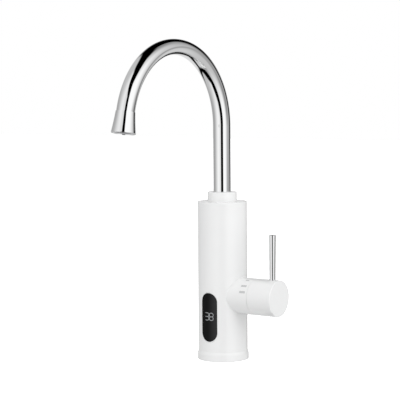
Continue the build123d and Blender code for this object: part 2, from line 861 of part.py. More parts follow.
with BuildPart() as spindle_seal:
    with BuildSketch(Plane.YZ.offset(shoulder_end + push_gap)):
        with Locations((0, barrel_height)):
            Circle(spindle_radius + slide_gap / 2)
            Circle(spindle_radius - groove_depth / 2 + seal_squeeze, mode=Mode.SUBTRACT)
    extrude(amount=groove_width - 2 * push_gap)
spindle_seal.part.label = "spindle_seal"
export_step(spindle_seal.part, "parts/spindle_seal.step")

with BuildPart() as cartridge_nut:
    with BuildSketch(Plane.YZ.offset(valve_socket_end)):
        with Locations((0, barrel_height)):
            RegularPolygon(nut_width / 2, 6, major_radius=False)
    extrude(amount=shoulder_end - valve_socket_end + nut_lip)
    with BuildSketch(Plane.YZ.offset(valve_socket_end)):
        with Locations((0, barrel_height)):
            Circle(cartridge_radius + push_gap)
    extrude(amount=shoulder_end - valve_socket_end, mode=Mode.SUBTRACT)
    with BuildSketch(Plane.YZ.offset(shoulder_end)):
        with Locations((0, barrel_height)):
            Circle(nose_radius + push_gap)
    extrude(amount=nut_lip, mode=Mode.SUBTRACT)
cartridge_nut.part.label = "cartridge_nut"
export_step(cartridge_nut.part, "parts/cartridge_nut.step")

# Housing, in one piece with the fixed half of the side barrel

with BuildPart() as housing_shell:
    with BuildSketch(Plane.XY.offset(ring_height)):
        Circle(housing_radius)
    extrude(amount=housing_top - ring_height)
    fillet(housing_shell.faces().sort_by(Axis.Z)[-1].edges(), housing_top_round)
    with BuildSketch(Plane.YZ):
        with Locations((0, barrel_height)):
            Circle(barrel_radius)
    extrude(amount=stub_end)
    fillet(housing_shell.faces().sort_by(Axis.X)[-1].edges(), seam_round)
    with BuildSketch(Plane.XY.offset(ring_height)):
        Circle(housing_bore)
    extrude(amount=housing_top - housing_top_wall - ring_height, mode=Mode.SUBTRACT)
    with BuildSketch(Plane.YZ):
        with Locations((0, barrel_height)):
            Circle(barrel_bore)
    extrude(amount=stub_end, mode=Mode.SUBTRACT)
    with BuildSketch(Plane.XY.offset(housing_top)):
        Circle(tower_thread_radius + push_gap)
    extrude(amount=-housing_top_wall, mode=Mode.SUBTRACT)
    with BuildSketch(Plane.XZ):
        with Locations((0, window_middle)):
            SlotOverall(window_top - window_bottom, window_width, rotation=quarter_turn)
    extrude(amount=2 * housing_radius, mode=Mode.SUBTRACT)
    with BuildSketch(Plane.XY.offset(boss_bottom)):
        with PolarLocations(screw_ring_radius, screw_count):
            Circle(boss_radius)
        with PolarLocations((screw_ring_radius + housing_bore + boss_root) / 2, screw_count):
            Rectangle(housing_bore - screw_ring_radius + boss_root, 2 * boss_radius)
    extrude(amount=boss_height)
    with BuildSketch(Plane.XY.offset(boss_bottom)):
        with PolarLocations(screw_ring_radius, screw_count):
            Circle(screw_radius + solder_gap)
    extrude(amount=boss_height - boss_roof, mode=Mode.SUBTRACT)
housing_shell.part.label = "housing_shell"
export_step(housing_shell.part, "parts/housing_shell.step")

# Display

bezel_height = window_top - window_bottom - 2 * window_gap
bezel_across = window_width - 2 * window_gap
lens_height = bezel_height - 2 * bezel_width - 2 * window_gap
lens_across = bezel_across - 2 * bezel_width - 2 * window_gap
lens_front = housing_radius - lens_sink

with BuildPart() as display_bezel:
    with BuildSketch(Plane.XY.offset(window_bottom)):
        Circle(housing_radius + bezel_proud)
        Circle(housing_radius - bezel_depth, mode=Mode.SUBTRACT)
    extrude(amount=window_top - window_bottom)
    with BuildSketch(Plane.XZ):
        with Locations((0, window_middle)):
            SlotOverall(bezel_height, bezel_across, rotation=quarter_turn)
            SlotOverall(bezel_height - 2 * bezel_width, bezel_across - 2 * bezel_width,
                        rotation=quarter_turn, mode=Mode.SUBTRACT)
    extrude(amount=2 * housing_radius, mode=Mode.INTERSECT)
display_bezel.part.label = "display_bezel"
export_step(display_bezel.part, "parts/display_bezel.step")


def digit_strokes(figure_middle, strokes):
    """The lit strokes of one figure, named a to g as on a seven-stroke display."""
    half_high = (digit_height - digit_stroke) / 2
    half_wide = (digit_width - digit_stroke) / 2
    places = {
        "a": (0, half_high, 2 * half_wide, 0),
        "b": (half_wide, half_high / 2, half_high, quarter_turn),
        "c": (half_wide, -half_high / 2, half_high, quarter_turn),
        "d": (0, -half_high, 2 * half_wide, 0),
        "e": (-half_wide, -half_high / 2, half_high, quarter_turn),
        "f": (-half_wide, half_high / 2, half_high, quarter_turn),
        "g": (0, 0, 2 * half_wide, 0),
    }
    for stroke in strokes:
        across, up, length, turn = places[stroke]
        with Locations((figure_middle + across, digit_middle + up)):
            SlotCenterToCenter(length, digit_stroke, rotation=turn)


figure_step = (digit_width + digit_gap) / 2
with BuildPart() as display_digits:
    with BuildSketch(Plane.XY.offset(digit_middle - digit_height)):
        Circle(lens_front)
        Circle(lens_front - digit_depth, mode=Mode.SUBTRACT)
    extrude(amount=2 * digit_height)
    with BuildSketch(Plane.XZ):
        digit_strokes(digit_shift - figure_step, "abcdg")
        digit_strokes(digit_shift + figure_step, "abcdefg")
    extrude(amount=2 * housing_radius, mode=Mode.INTERSECT)
display_digits.part.label = "display_digits"
export_step(display_digits.part, "parts/display_digits.step")

with BuildPart() as display_lens:
    with BuildSketch(Plane.XY.offset(window_bottom)):
        Circle(lens_front)
        Circle(lens_front - lens_depth, mode=Mode.SUBTRACT)
    extrude(amount=window_top - window_bottom)
    with BuildSketch(Plane.XZ):
        with Locations((0, window_middle)):
            SlotOverall(lens_height, lens_across, rotation=quarter_turn)
    extrude(amount=2 * housing_radius, mode=Mode.INTERSECT)
    add(display_digits.part, mode=Mode.SUBTRACT)
display_lens.part.label = "display_lens"
export_step(display_lens.part, "parts/display_lens.step")

module_width = 2 * digit_width + digit_gap + 2 * module_side
module_edge = digit_shift + module_width / 2
module_front = sqrt((lens_front - lens_depth) ** 2 - module_edge ** 2) - push_gap
with BuildPart() as display_module:
    with BuildSketch(Plane.XZ.offset(module_front)):
        with Locations((digit_shift, digit_middle)):
            Rectangle(module_width, digit_height + 2 * module_end)
    extrude(amount=-module_depth)
display_module.part.label = "display_module"
export_step(display_module.part, "parts/display_module.step")

display_board_front = module_front - module_depth
display_board_height = window_top - window_bottom - 2 * display_board_margin
with BuildPart() as display_board:
    with BuildSketch(Plane.XZ.offset(display_board_front)):
        with Locations((0, window_middle)):
            Rectangle(display_board_width, display_board_height)
    extrude(amount=-board_thickness)
display_board.part.label = "display_board"
export_step(display_board.part, "parts/display_board.step")

carrier_bottom = window_bottom - carrier_margin / 2
carrier_front = display_board_front + carrier_rim
pocket_depth = carrier_rim + board_thickness + push_gap
with BuildPart() as display_carrier:
    with BuildSketch(Plane.XZ.offset(carrier_front)):
        with Locations((0, window_middle)):
            Rectangle(carrier_width, window_top - window_bottom + carrier_margin)
    extrude(amount=-carrier_depth)
    with BuildSketch(Plane.XZ.offset(carrier_front)):
        with Locations((0, window_middle)):
            Rectangle(display_board_width + 2 * push_gap, display_board_height + 2 * push_gap)
    extrude(amount=-pocket_depth, mode=Mode.SUBTRACT)
    with BuildSketch(Plane.XY.offset(plate_height)):
        with Locations((0, -carrier_front + carrier_depth - carrier_leg_depth / 2)):
            Rectangle(carrier_leg_width, carrier_leg_depth)
    extrude(amount=carrier_bottom - plate_height + overcut)
display_carrier.part.label = "display_carrier"
export_step(display_carrier.part, "parts/display_carrier.step")

with BuildPart() as display_ribbon:
    with BuildSketch(Plane.XY.offset(ribbon_bottom)):
        Circle(ribbon_radius)
        Circle(ribbon_radius - ribbon_thickness, mode=Mode.SUBTRACT)
        with Locations((ribbon_radius, 0)):
            Rectangle(2 * (ribbon_radius - board_width / 2 - push_gap), 4 * ribbon_radius,
                      mode=Mode.INTERSECT)
    extrude(amount=ribbon_width)
display_ribbon.part.label = "display_ribbon"
export_step(display_ribbon.part, "parts/display_ribbon.step")

# Control electronics, on a frame that stands on the base plate

with BuildPart() as control_board:
    with BuildSketch(Plane.XZ.offset(-board_front)):
        with Locations((0, board_middle)):
            Rectangle(board_width, board_top - board_bottom)
    extrude(amount=-board_thickness)
control_board.part.label = "control_board"
export_step(control_board.part, "parts/control_board.step")

with BuildPart() as chassis_frame:
    with BuildSketch(Plane.XZ.offset(-board_front - board_thickness)):
        with Locations((0, (plate_height + frame_top) / 2)):
            Rectangle(frame_width, frame_top - plate_height)
        with Locations((0, board_middle)):
            Rectangle(frame_window_width, board_top - board_bottom - 2 * frame_window_margin,
                      mode=Mode.SUBTRACT)
    extrude(amount=-frame_depth)
chassis_frame.part.label = "chassis_frame"
export_step(chassis_frame.part, "parts/chassis_frame.step")

with BuildPart() as power_relay:
    with BuildSketch(Plane.XZ.offset(-relay_face)):
        with Locations((0, relay_bottom + relay_height / 2)):
            RectangleRounded(relay_width, relay_height, relay_round)
    extrude(amount=relay_face - board_front)
power_relay.part.label = "power_relay"
export_step(power_relay.part, "parts/power_relay.step")

with BuildPart() as power_capacitor:
    with BuildSketch(Plane.XZ.offset(-relay_face)):
        with Locations((0, capacitor_height)):
            Circle(capacitor_radius)
    extrude(amount=relay_face - board_front)
    fillet(power_capacitor.faces().sort_by(Axis.Y)[0].edges(), capacitor_round)
power_capacitor.part.label = "power_capacitor"
export_step(power_capacitor.part, "parts/power_capacitor.step")

with BuildPart() as triac:
    with BuildSketch(Plane.XZ.offset(-valve_half)):
        with Locations((0, triac_bottom + triac_height / 2)):
            Rectangle(triac_width, triac_height)
    extrude(amount=-triac_depth)
    with BuildSketch(Plane.XZ.offset(-valve_half)):
        with Locations((0, triac_screw_height)):
            Rectangle(triac_width, triac_tab)
            Circle(screw_radius + solder_gap, mode=Mode.SUBTRACT)
    extrude(amount=-triac_tab_thickness)
triac.part.label = "triac"
export_step(triac.part, "parts/triac.step")

with BuildPart() as triac_screw:
    with BuildSketch(Plane.XZ.offset(-valve_half - triac_tab_thickness)):
        with Locations((0, triac_screw_height)):
            Circle(screw_head_radius)
    extrude(amount=-screw_head_height)
    with BuildSketch(Plane.XZ.offset(-valve_half - triac_tab_thickness)):
        with Locations((0, triac_screw_height)):
            Circle(screw_radius)
    extrude(amount=triac_screw_length)
triac_screw.part.label = "triac_screw"
export_step(triac_screw.part, "parts/triac_screw.step")

with BuildPart() as terminal_block:
    with BuildSketch(Plane.XY.offset(terminal_bottom)):
        with Locations((terminal_back + terminal_depth / 2, 0)):
            Rectangle(terminal_depth, terminal_width)
    extrude(amount=terminal_height)
    with BuildSketch(Plane.XY.offset(terminal_bottom)):
        with Locations((terminal_back + terminal_depth / 2, 0)):
            with GridLocations(0, terminal_width / terminal_poles, 1, terminal_poles):
                Circle(terminal_hole)
    extrude(amount=terminal_hole_depth, mode=Mode.SUBTRACT)
terminal_block.part.label = "terminal_block"
export_step(terminal_block.part, "parts/terminal_block.step")

# Heater vessel

with BuildPart() as vessel_inlet_seal:
    with BuildSketch(Plane.XY.offset(valve_top + upper_boss_length)):
        Circle(upper_boss_radius)
        Circle(spigot_radius + solder_gap, mode=Mode.SUBTRACT)
    extrude(amount=vessel_floor - valve_top - upper_boss_length)
vessel_inlet_seal.part.label = "vessel_inlet_seal"
export_step(vessel_inlet_seal.part, "parts/vessel_inlet_seal.step")

side = element_ring_radius / sqrt(2)
with BuildPart() as heater_vessel:
    with BuildSketch(Plane.XY.offset(vessel_floor)):
        Circle(vessel_radius)
    extrude(amount=vessel_top - vessel_floor)
    fillet(heater_vessel.faces().sort_by(Axis.Z)[0].edges(), vessel_wall)
    with BuildSketch(Plane.XY.offset(vessel_top - flange_height)):
        Circle(flange_radius)
    extrude(amount=flange_height)
    with BuildSketch(Plane.XY.offset(inner_floor)):
        Circle(vessel_radius - vessel_wall)
    extrude(amount=vessel_top - inner_floor, mode=Mode.SUBTRACT)
    with BuildSketch(Plane.XY.offset(vessel_floor)):
        Circle(spigot_radius + push_gap)
        with Locations((-side, side), (-side, -side)):
            Circle(element_radius + solder_gap)
    extrude(amount=vessel_wall, mode=Mode.SUBTRACT)
    with BuildSketch(Plane.XY.offset(vessel_top - flange_height)):
        with PolarLocations(lid_screw_ring_radius, lid_screw_count, start_angle=45):
            Circle(screw_radius + solder_gap)
    extrude(amount=flange_height, mode=Mode.SUBTRACT)
heater_vessel.part.label = "heater_vessel"
export_step(heater_vessel.part, "parts/heater_vessel.step")

with BuildPart() as vessel_gasket:
    with BuildSketch(Plane.XY.offset(vessel_top)):
        Circle(flange_radius)
        Circle(vessel_radius - vessel_wall, mode=Mode.SUBTRACT)
        with PolarLocations(lid_screw_ring_radius, lid_screw_count, start_angle=45):
            Circle(screw_radius + push_gap, mode=Mode.SUBTRACT)
    extrude(amount=vessel_gasket_height)
vessel_gasket.part.label = "vessel_gasket"
export_step(vessel_gasket.part, "parts/vessel_gasket.step")

with BuildPart() as vessel_lid:
    with BuildSketch(Plane.XY.offset(lid_bottom)):
        Circle(flange_radius)
    extrude(amount=lid_height)
    with BuildSketch(Plane.XY.offset(lid_top)):
        Circle(tower_radius)
    extrude(amount=housing_top - housing_top_wall - lid_top)
    with BuildSketch(Plane.XY.offset(housing_top - housing_top_wall)):
        Circle(tower_thread_radius)
    extrude(amount=tower_top - housing_top + housing_top_wall)
    with BuildSketch(Plane.XY.offset(lid_bottom)):
        Circle(tower_passage)
    extrude(amount=tower_top - lid_bottom, mode=Mode.SUBTRACT)
    with BuildSketch(Plane.XY.offset(ferrule_bottom - tower_room)):
        Circle(ferrule_radius)
    extrude(amount=tower_top - ferrule_bottom + tower_room, mode=Mode.SUBTRACT)
    with BuildSketch(Plane.XY.offset(lid_bottom)):
        with PolarLocations(lid_screw_ring_radius, lid_screw_count, start_angle=45):
            Circle(screw_radius + push_gap)
        with Locations(on_circle(probe_ring_radius, probe_angle)):
            Circle(probe_radius + solder_gap)
    extrude(amount=lid_height, mode=Mode.SUBTRACT)
vessel_lid.part.label = "vessel_lid"
export_step(vessel_lid.part, "parts/vessel_lid.step")

with BuildPart() as lid_screws:
    with BuildSketch(Plane.XY.offset(lid_top)):
        with PolarLocations(lid_screw_ring_radius, lid_screw_count, start_angle=45):
            Circle(screw_head_radius)
    extrude(amount=screw_head_height)
    with BuildSketch(Plane.XY.offset(lid_top)):
        with PolarLocations(lid_screw_ring_radius, lid_screw_count, start_angle=45):
            Circle(screw_radius)
    extrude(amount=-lid_screw_length)
    with BuildSketch(Plane.XY.offset(lid_top + screw_head_height)):
        with PolarLocations(lid_screw_ring_radius, lid_screw_count, start_angle=45):
            RegularPolygon(screw_radius, 6)
    extrude(amount=-socket_depth, mode=Mode.SUBTRACT)
lid_screws.part.label = "lid_screws"
export_step(lid_screws.part, "parts/lid_screws.step")

# The heating element is one sheathed tube, up and down four times.
with BuildPart() as heating_element:
    with BuildLine() as element_path:
        Line((-side, -side, element_end), (-side, -side, element_top))
        ThreePointArc((-side, -side, element_top), (0, -side, element_top + side),
                      (side, -side, element_top))
        Line((side, -side, element_top), (side, -side, element_low))
        ThreePointArc((side, -side, element_low), (side, 0, element_low - side),
                      (side, side, element_low))
        Line((side, side, element_low), (side, side, element_top))
        ThreePointArc((side, side, element_top), (0, side, element_top + side),
                      (-side, side, element_top))
        Line((-side, side, element_top), (-side, side, element_end))
    with BuildSketch(Plane(origin=(-side, -side, element_end), z_dir=(0, 0, 1))):
        Circle(element_radius)
    sweep(path=element_path.line)
heating_element.part.label = "heating_element"
export_step(heating_element.part, "parts/heating_element.step")

terminal_low = element_end - terminal_drop
lead_start = -side - tab_reach
tab_middle = lead_start + tab_length / 2
with BuildPart() as element_terminals:
    with BuildSketch(Plane.XY.offset(element_end)):
        with Locations((-side, side), (-side, -side)):
            Circle(bead_radius)
    extrude(amount=-bead_height)
    with BuildSketch(Plane.XY.offset(element_end)):
        with Locations((-side, side), (-side, -side)):
            Circle(lead_radius)
    extrude(amount=-terminal_drop)
    with BuildSketch(Plane.XY.offset(terminal_low)):
        with Locations((tab_middle, side), (tab_middle, -side)):
            Rectangle(tab_length, tab_width)
    extrude(amount=2 * lead_radius)
element_terminals.part.label = "element_terminals"
export_step(element_terminals.part, "parts/element_terminals.step")

lead_height = terminal_low + lead_radius
lead_end = terminal_bottom + terminal_height
with BuildPart() as heater_leads:
    for hand in (1, -1):
        with BuildLine() as lead_path:
            FilletPolyline(
                (lead_start, hand * side, lead_height),
                (lead_column, hand * side, lead_height),
                (lead_column, hand * side, lead_height - lead_drop),
                (lead_column, hand * lead_spread, lead_height - 2 * lead_drop),
                (lead_column, hand * lead_spread, lead_end),
                radius=lead_turn,
            )
        with BuildSketch(Plane(origin=(lead_start, hand * side, lead_height), z_dir=(-1, 0, 0))):
            Circle(lead_radius)
        sweep(path=lead_path.line)
heater_leads.part.label = "heater_leads"
export_step(heater_leads.part, "parts/heater_leads.step")

band_radius = vessel_radius + band_thickness
with BuildPart() as cutout_band:
    with BuildSketch(Plane.XY.offset(band_middle - band_height / 2)):
        Circle(band_radius)
        Circle(vessel_radius, mode=Mode.SUBTRACT)
    extrude(amount=band_height)
cutout_band.part.label = "cutout_band"
export_step(cutout_band.part, "parts/cutout_band.step")

with BuildPart() as thermal_cutout:
    with BuildSketch(Plane.XZ.offset(-band_radius)):
        with Locations((0, band_middle)):
            RectangleRounded(cutout_width, cutout_height, cutout_round)
    extrude(amount=-cutout_depth)
thermal_cutout.part.label = "thermal_cutout"
export_step(thermal_cutout.part, "parts/thermal_cutout.step")

with BuildPart() as temperature_probe:
    with BuildSketch(Plane.XY.offset(lid_top + probe_head)):
        with Locations(on_circle(probe_ring_radius, probe_angle)):
            Circle(probe_radius)
    extrude(amount=-probe_length)
    fillet(temperature_probe.faces().sort_by(Axis.Z)[0].edges(), probe_round)
temperature_probe.part.label = "temperature_probe"
export_step(temperature_probe.part, "parts/temperature_probe.step")

# Spout

with BuildPart() as spout_collar:
    with BuildSketch(Plane.XY.offset(housing_top)):
        Circle(collar_radius)
    extrude(amount=collar_top - housing_top)
    fillet(spout_collar.faces().sort_by(Axis.Z)[-1].edges(), collar_round)
    with BuildSketch(Plane.XY.offset(housing_top)):
        Circle(tower_thread_radius + push_gap)
    extrude(amount=collar_lip_bottom - housing_top, mode=Mode.SUBTRACT)
    with BuildSketch(Plane.XY.offset(collar_lip_bottom)):
        Circle(tube_radius + free_gap)
    extrude(amount=collar_lip, mode=Mode.SUBTRACT)
spout_collar.part.label = "spout_collar"
export_step(spout_collar.part, "parts/spout_collar.step")

spout_outside = gooseneck(0)
spout_inside = gooseneck(tube_wall)
with BuildPart() as spout_tube:
    add(spout_outside)
    add(spout_inside, mode=Mode.SUBTRACT)
spout_tube.part.label = "spout_tube"
export_step(spout_tube.part, "parts/spout_tube.step")

ring_low = ferrule_bottom + groove_lead
ring_places = (ring_low, ring_low + groove_spacing)
with BuildPart() as spout_ferrule:
    with BuildSketch(Plane.XY.offset(ferrule_bottom)):
        Circle(ferrule_outside)
    extrude(amount=flange_top - ferrule_bottom)
    with BuildSketch(Plane.XY.offset(flange_bottom)):
        Circle(ferrule_flange_radius)
    extrude(amount=ferrule_flange_height)
    with BuildSketch(Plane.XY.offset(ferrule_bottom)):
        Circle(ferrule_bore)
    extrude(amount=tube_foot - ferrule_bottom, mode=Mode.SUBTRACT)
    with BuildSketch(Plane.XY.offset(tube_foot)):
        Circle(tube_radius + solder_gap)
    extrude(amount=flange_top - tube_foot, mode=Mode.SUBTRACT)
    for height in ring_places:
        with BuildSketch(Plane.XY.offset(height - groove_width / 2)):
            Circle(ferrule_outside + overcut)
            Circle(ferrule_outside - groove_depth, mode=Mode.SUBTRACT)
        extrude(amount=groove_width, mode=Mode.SUBTRACT)
spout_ferrule.part.label = "spout_ferrule"
export_step(spout_ferrule.part, "parts/spout_ferrule.step")

o_ring_wire_radius = (groove_depth + turn_gap - 2 * seal_squeeze) / 2
with BuildPart() as spout_o_rings:
    for height in ring_places:
        with BuildSketch(Plane.XZ):
            with Locations((ferrule_radius - seal_squeeze - o_ring_wire_radius, height)):
                Circle(o_ring_wire_radius)
        revolve(axis=Axis.Z)
spout_o_rings.part.label = "spout_o_rings"
export_step(spout_o_rings.part, "parts/spout_o_rings.step")

with BuildPart() as spout_washer:
    with BuildSketch(Plane.XY.offset(collar_lip_bottom - spout_washer_height)):
        Circle(tower_thread_radius)
        Circle(tube_radius + free_gap, mode=Mode.SUBTRACT)
    extrude(amount=spout_washer_height)
spout_washer.part.label = "spout_washer"
export_step(spout_washer.part, "parts/spout_washer.step")

# Nozzle, turned about the line that leaves the bend

nozzle_top = outlet_plane(-nozzle_lead)
nozzle_across = outlet_way.cross(Vector(1, 0, 0)) * -1
nozzle_side = Plane(origin=nozzle_top.origin, x_dir=(1, 0, 0), z_dir=nozzle_across)
with BuildPart() as spout_nozzle:
    with BuildSketch(nozzle_side) as nozzle_half:
        with BuildLine():
            outside = ThreePointArc(
                (nozzle_top_radius, 0),
                (nozzle_middle_radius, nozzle_middle),
                (nozzle_rim_radius, nozzle_length),
            )
            Polyline(outside @ 1, (nozzle_bore, nozzle_length), (nozzle_bore, 0), outside @ 0)
        make_face()
    revolve(axis=Axis(nozzle_top.origin, outlet_way))
    round_edges = spout_nozzle.edges().filter_by(GeomType.CIRCLE)
    rim_edge = round_edges.filter_by(lambda edge: abs(edge.radius - nozzle_rim_radius) < 0.01)
    fillet(rim_edge, nozzle_rim_round)
    with BuildSketch(outlet_plane(nozzle_length - nozzle_lead)):
        Circle(nozzle_recess_radius)
    extrude(amount=-nozzle_recess, mode=Mode.SUBTRACT)
spout_nozzle.part.label = "spout_nozzle"
export_step(spout_nozzle.part, "parts/spout_nozzle.step")

aerator_seat = nozzle_length - nozzle_lead - nozzle_recess
with BuildPart() as aerator_washer:
    with BuildSketch(outlet_plane(aerator_top)):
        Circle(nozzle_bore - push_gap)
        Circle(aerator_washer_bore, mode=Mode.SUBTRACT)
    extrude(amount=-aerator_washer_height)
aerator_washer.part.label = "aerator_washer"
export_step(aerator_washer.part, "parts/aerator_washer.step")

with BuildPart() as aerator_body:
    with BuildSketch(outlet_plane(aerator_top)):
        Circle(nozzle_bore - push_gap)
    extrude(amount=aerator_seat - aerator_top)
    with BuildSketch(outlet_plane(aerator_seat)):
        Circle(nozzle_recess_radius - push_gap)
    extrude(amount=aerator_flange_height)
    with BuildSketch(outlet_plane(aerator_top)):
        Circle(aerator_bore)
    extrude(amount=aerator_seat - aerator_top + aerator_flange_height, mode=Mode.SUBTRACT)
aerator_body.part.label = "aerator_body"
export_step(aerator_body.part, "parts/aerator_body.step")

mesh_reach = aerator_bore - mesh_hole
mesh_count = int(2 * aerator_bore / mesh_spacing)
with BuildPart() as aerator_mesh:
    with BuildSketch(outlet_plane(aerator_seat)):
        Circle(aerator_bore - solder_gap)
        with GridLocations(mesh_spacing, mesh_spacing, mesh_count, mesh_count) as mesh_grid:
            holes = [
                place.position
                for place in mesh_grid.local_locations
                if place.position.length < mesh_reach
            ]
        with Locations(*holes):
            Rectangle(mesh_hole, mesh_hole, mode=Mode.SUBTRACT)
    extrude(amount=mesh_thickness)
aerator_mesh.part.label = "aerator_mesh"
export_step(aerator_mesh.part, "parts/aerator_mesh.step")

# Handle: the turning half of the barrel, with its rod

with BuildPart() as handle_sleeve:
    with BuildSketch(Plane.YZ.offset(sleeve_start)):
        with Locations((0, barrel_height)):
            Circle(barrel_radius)
    extrude(amount=barrel_end - sleeve_start)
    fillet(handle_sleeve.faces().sort_by(Axis.X)[-1].edges(), sleeve_edge_round)
    fillet(handle_sleeve.faces().sort_by(Axis.X)[0].edges(), seam_round)
    with BuildSketch(Plane.YZ.offset(sleeve_start)):
        with Locations((0, barrel_height)):
            Circle(barrel_bore)
    extrude(amount=barrel_end - sleeve_end_wall - sleeve_start, mode=Mode.SUBTRACT)
    with BuildSketch(Plane.YZ.offset(sleeve_start - skirt_length)):
        with Locations((0, barrel_height)):
            Circle(barrel_bore - free_gap)
            Circle(barrel_bore - free_gap - skirt_wall, mode=Mode.SUBTRACT)
    extrude(amount=skirt_length)
    with BuildSketch(Plane.YZ.offset(sleeve_start)):
        with Locations((0, barrel_height)):
            Circle(barrel_bore + skirt_root)
            Circle(barrel_bore - free_gap - skirt_wall, mode=Mode.SUBTRACT)
    extrude(amount=skirt_wall)
    with BuildSketch(Plane.YZ.offset(hub_start)):
        with Locations((0, barrel_height)):
            Circle(hub_radius)
    extrude(amount=barrel_end - sleeve_end_wall / 2 - hub_start)
    with BuildSketch(Plane.XY.offset(barrel_height)):
        with Locations((rod_place, 0)):
            Circle(rod_boss_radius)
    extrude(amount=barrel_radius - barrel_wall / 2)
    with BuildSketch(Plane.XY.offset(rod_seat)):
        with Locations((rod_place, 0)):
            Circle(rod_foot_radius + push_gap)
    extrude(amount=2 * rod_sink, mode=Mode.SUBTRACT)
    with BuildSketch(Plane.XY.offset(rod_seat)):
        with Locations((rod_place, 0)):
            Circle(rod_screw_radius + solder_gap)
    extrude(amount=-rod_screw_length - push_gap, mode=Mode.SUBTRACT)
    with BuildSketch(Plane.YZ.offset(hub_start)):
        with Locations((0, barrel_height)):
            Circle(spindle_radius + solder_gap)
        with Locations((0, barrel_height - spindle_flat - solder_gap - spindle_radius / 2)):
            Rectangle(2 * hub_radius, spindle_radius, mode=Mode.SUBTRACT)
    extrude(amount=spindle_end + hub_room - hub_start, mode=Mode.SUBTRACT)
    with BuildSketch(Plane.XY.offset(barrel_height - spindle_flat)):
        with Locations((grub_place, 0)):
            Circle(grub_radius + solder_gap)
    extrude(amount=-hub_radius, mode=Mode.SUBTRACT)
    with BuildSketch(Plane.XY.offset(barrel_height - hub_radius)):
        with Locations((grub_place, 0)):
            Circle(grub_access)
    extrude(amount=-barrel_radius, mode=Mode.SUBTRACT)
handle_sleeve.part.label = "handle_sleeve"
export_step(handle_sleeve.part, "parts/handle_sleeve.step")

with BuildPart() as handle_screw:
    with BuildSketch(Plane.XY.offset(barrel_height - spindle_flat - solder_gap)):
        with Locations((grub_place, 0)):
            Circle(grub_radius)
    extrude(amount=-(hub_radius - spindle_flat))
    with BuildSketch(Plane.XY.offset(barrel_height - hub_radius - solder_gap)):
        with Locations((grub_place, 0)):
            RegularPolygon(grub_radius / 2, 6)
    extrude(amount=grub_radius, mode=Mode.SUBTRACT)
handle_screw.part.label = "handle_screw"
export_step(handle_screw.part, "parts/handle_screw.step")

with BuildPart() as handle_rod:
    with BuildSketch(Plane.XY.offset(rod_seat)):
        with Locations((rod_place, 0)):
            Circle(rod_foot_radius)
    with BuildSketch(Plane.XY.offset(rod_top)):
        with Locations((rod_place, 0)):
            Circle(rod_top_radius)
    loft()
    fillet(handle_rod.faces().sort_by(Axis.Z)[-1].edges(), rod_edge_round)
    with BuildSketch(Plane.XY.offset(rod_seat)):
        with Locations((rod_place, 0)):
            Circle(rod_screw_radius)
    extrude(amount=-rod_screw_length)
handle_rod.part.label = "handle_rod"
export_step(handle_rod.part, "parts/handle_rod.step")
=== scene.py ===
# %% [markdown]
# An electric tap that heats its own water. It stands on the worktop: a white moulded body with a
# temperature window in front, a chromed swan neck on top and a barrel with a lever rod at its side.
# The frame brings the engineering model, every solid in metres and in its own place. This script
# keeps all of it, gives each solid its finish, and makes again the few skins on which a mirror or a
# gloss shows every facet.

# %% Load the engineering model
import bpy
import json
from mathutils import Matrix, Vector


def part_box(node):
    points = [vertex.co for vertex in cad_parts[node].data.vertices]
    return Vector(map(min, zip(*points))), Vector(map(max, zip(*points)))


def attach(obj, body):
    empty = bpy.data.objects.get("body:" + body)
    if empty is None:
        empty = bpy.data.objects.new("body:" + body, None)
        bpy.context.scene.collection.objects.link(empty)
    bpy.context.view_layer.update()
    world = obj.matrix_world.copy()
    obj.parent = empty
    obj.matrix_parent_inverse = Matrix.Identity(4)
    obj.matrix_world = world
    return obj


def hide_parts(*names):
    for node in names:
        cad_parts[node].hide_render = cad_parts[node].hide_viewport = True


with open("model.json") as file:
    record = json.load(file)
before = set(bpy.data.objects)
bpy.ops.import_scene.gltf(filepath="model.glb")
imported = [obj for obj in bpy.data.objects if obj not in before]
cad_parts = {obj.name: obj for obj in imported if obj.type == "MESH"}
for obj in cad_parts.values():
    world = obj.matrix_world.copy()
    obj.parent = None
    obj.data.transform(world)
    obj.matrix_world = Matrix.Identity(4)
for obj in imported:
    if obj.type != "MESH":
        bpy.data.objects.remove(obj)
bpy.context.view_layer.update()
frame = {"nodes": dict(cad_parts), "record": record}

import json
from math import atan2, cos, degrees, hypot, pi, radians, sin

import bmesh
import bpy
from mathutils import Matrix, Vector

MM = 0.001
NEAR, SAME = 1e-6, 1e-7  # metres: loosely and strictly the same place
nodes = frame["nodes"]
body_of_node = {
    node: body for body, members in frame["record"]["behaviour"]["bodies"].items() for node in members
}
slot_of_node = {row["node"]: row["material_slot"] for row in frame["record"]["subparts"]}

# %% [markdown]
# ## Paint by arithmetic
# A finish is a small calculation: noise times a strength, plus a base value. Wiring each Math node by
# hand hides the calculation, so one class wraps a socket and lets Python's own signs add the nodes.
# The second class owns the node tree. It makes any node from its type, its settings and its inputs.


# %% Sockets that can be added and multiplied
class Shade:
    """A number or colour that changes over a surface, held as a shader socket."""

    def __init__(self, paint, socket):
        self.paint, self.socket = paint, socket

    def __getitem__(self, name):
        return Shade(self.paint, self.socket.node.outputs[name])

    def __add__(self, other):
        return self.paint.maths("ADD", self, other)

    def __sub__(self, other):
        return self.paint.maths("SUBTRACT", self, other)

    def __rsub__(self, other):
        return self.paint.maths("SUBTRACT", other, self)

    def __mul__(self, other):
        return self.paint.maths("MULTIPLY", self, other)

    def __truediv__(self, other):
        return self.paint.maths("DIVIDE", self, other)

    def __pow__(self, other):
        return self.paint.maths("POWER", self, other)

    def __neg__(self):
        return self.paint.maths("MULTIPLY", self, -1.0)

    def __abs__(self):
        return self.paint.maths("ABSOLUTE", self)

    __radd__ = __add__
    __rmul__ = __mul__


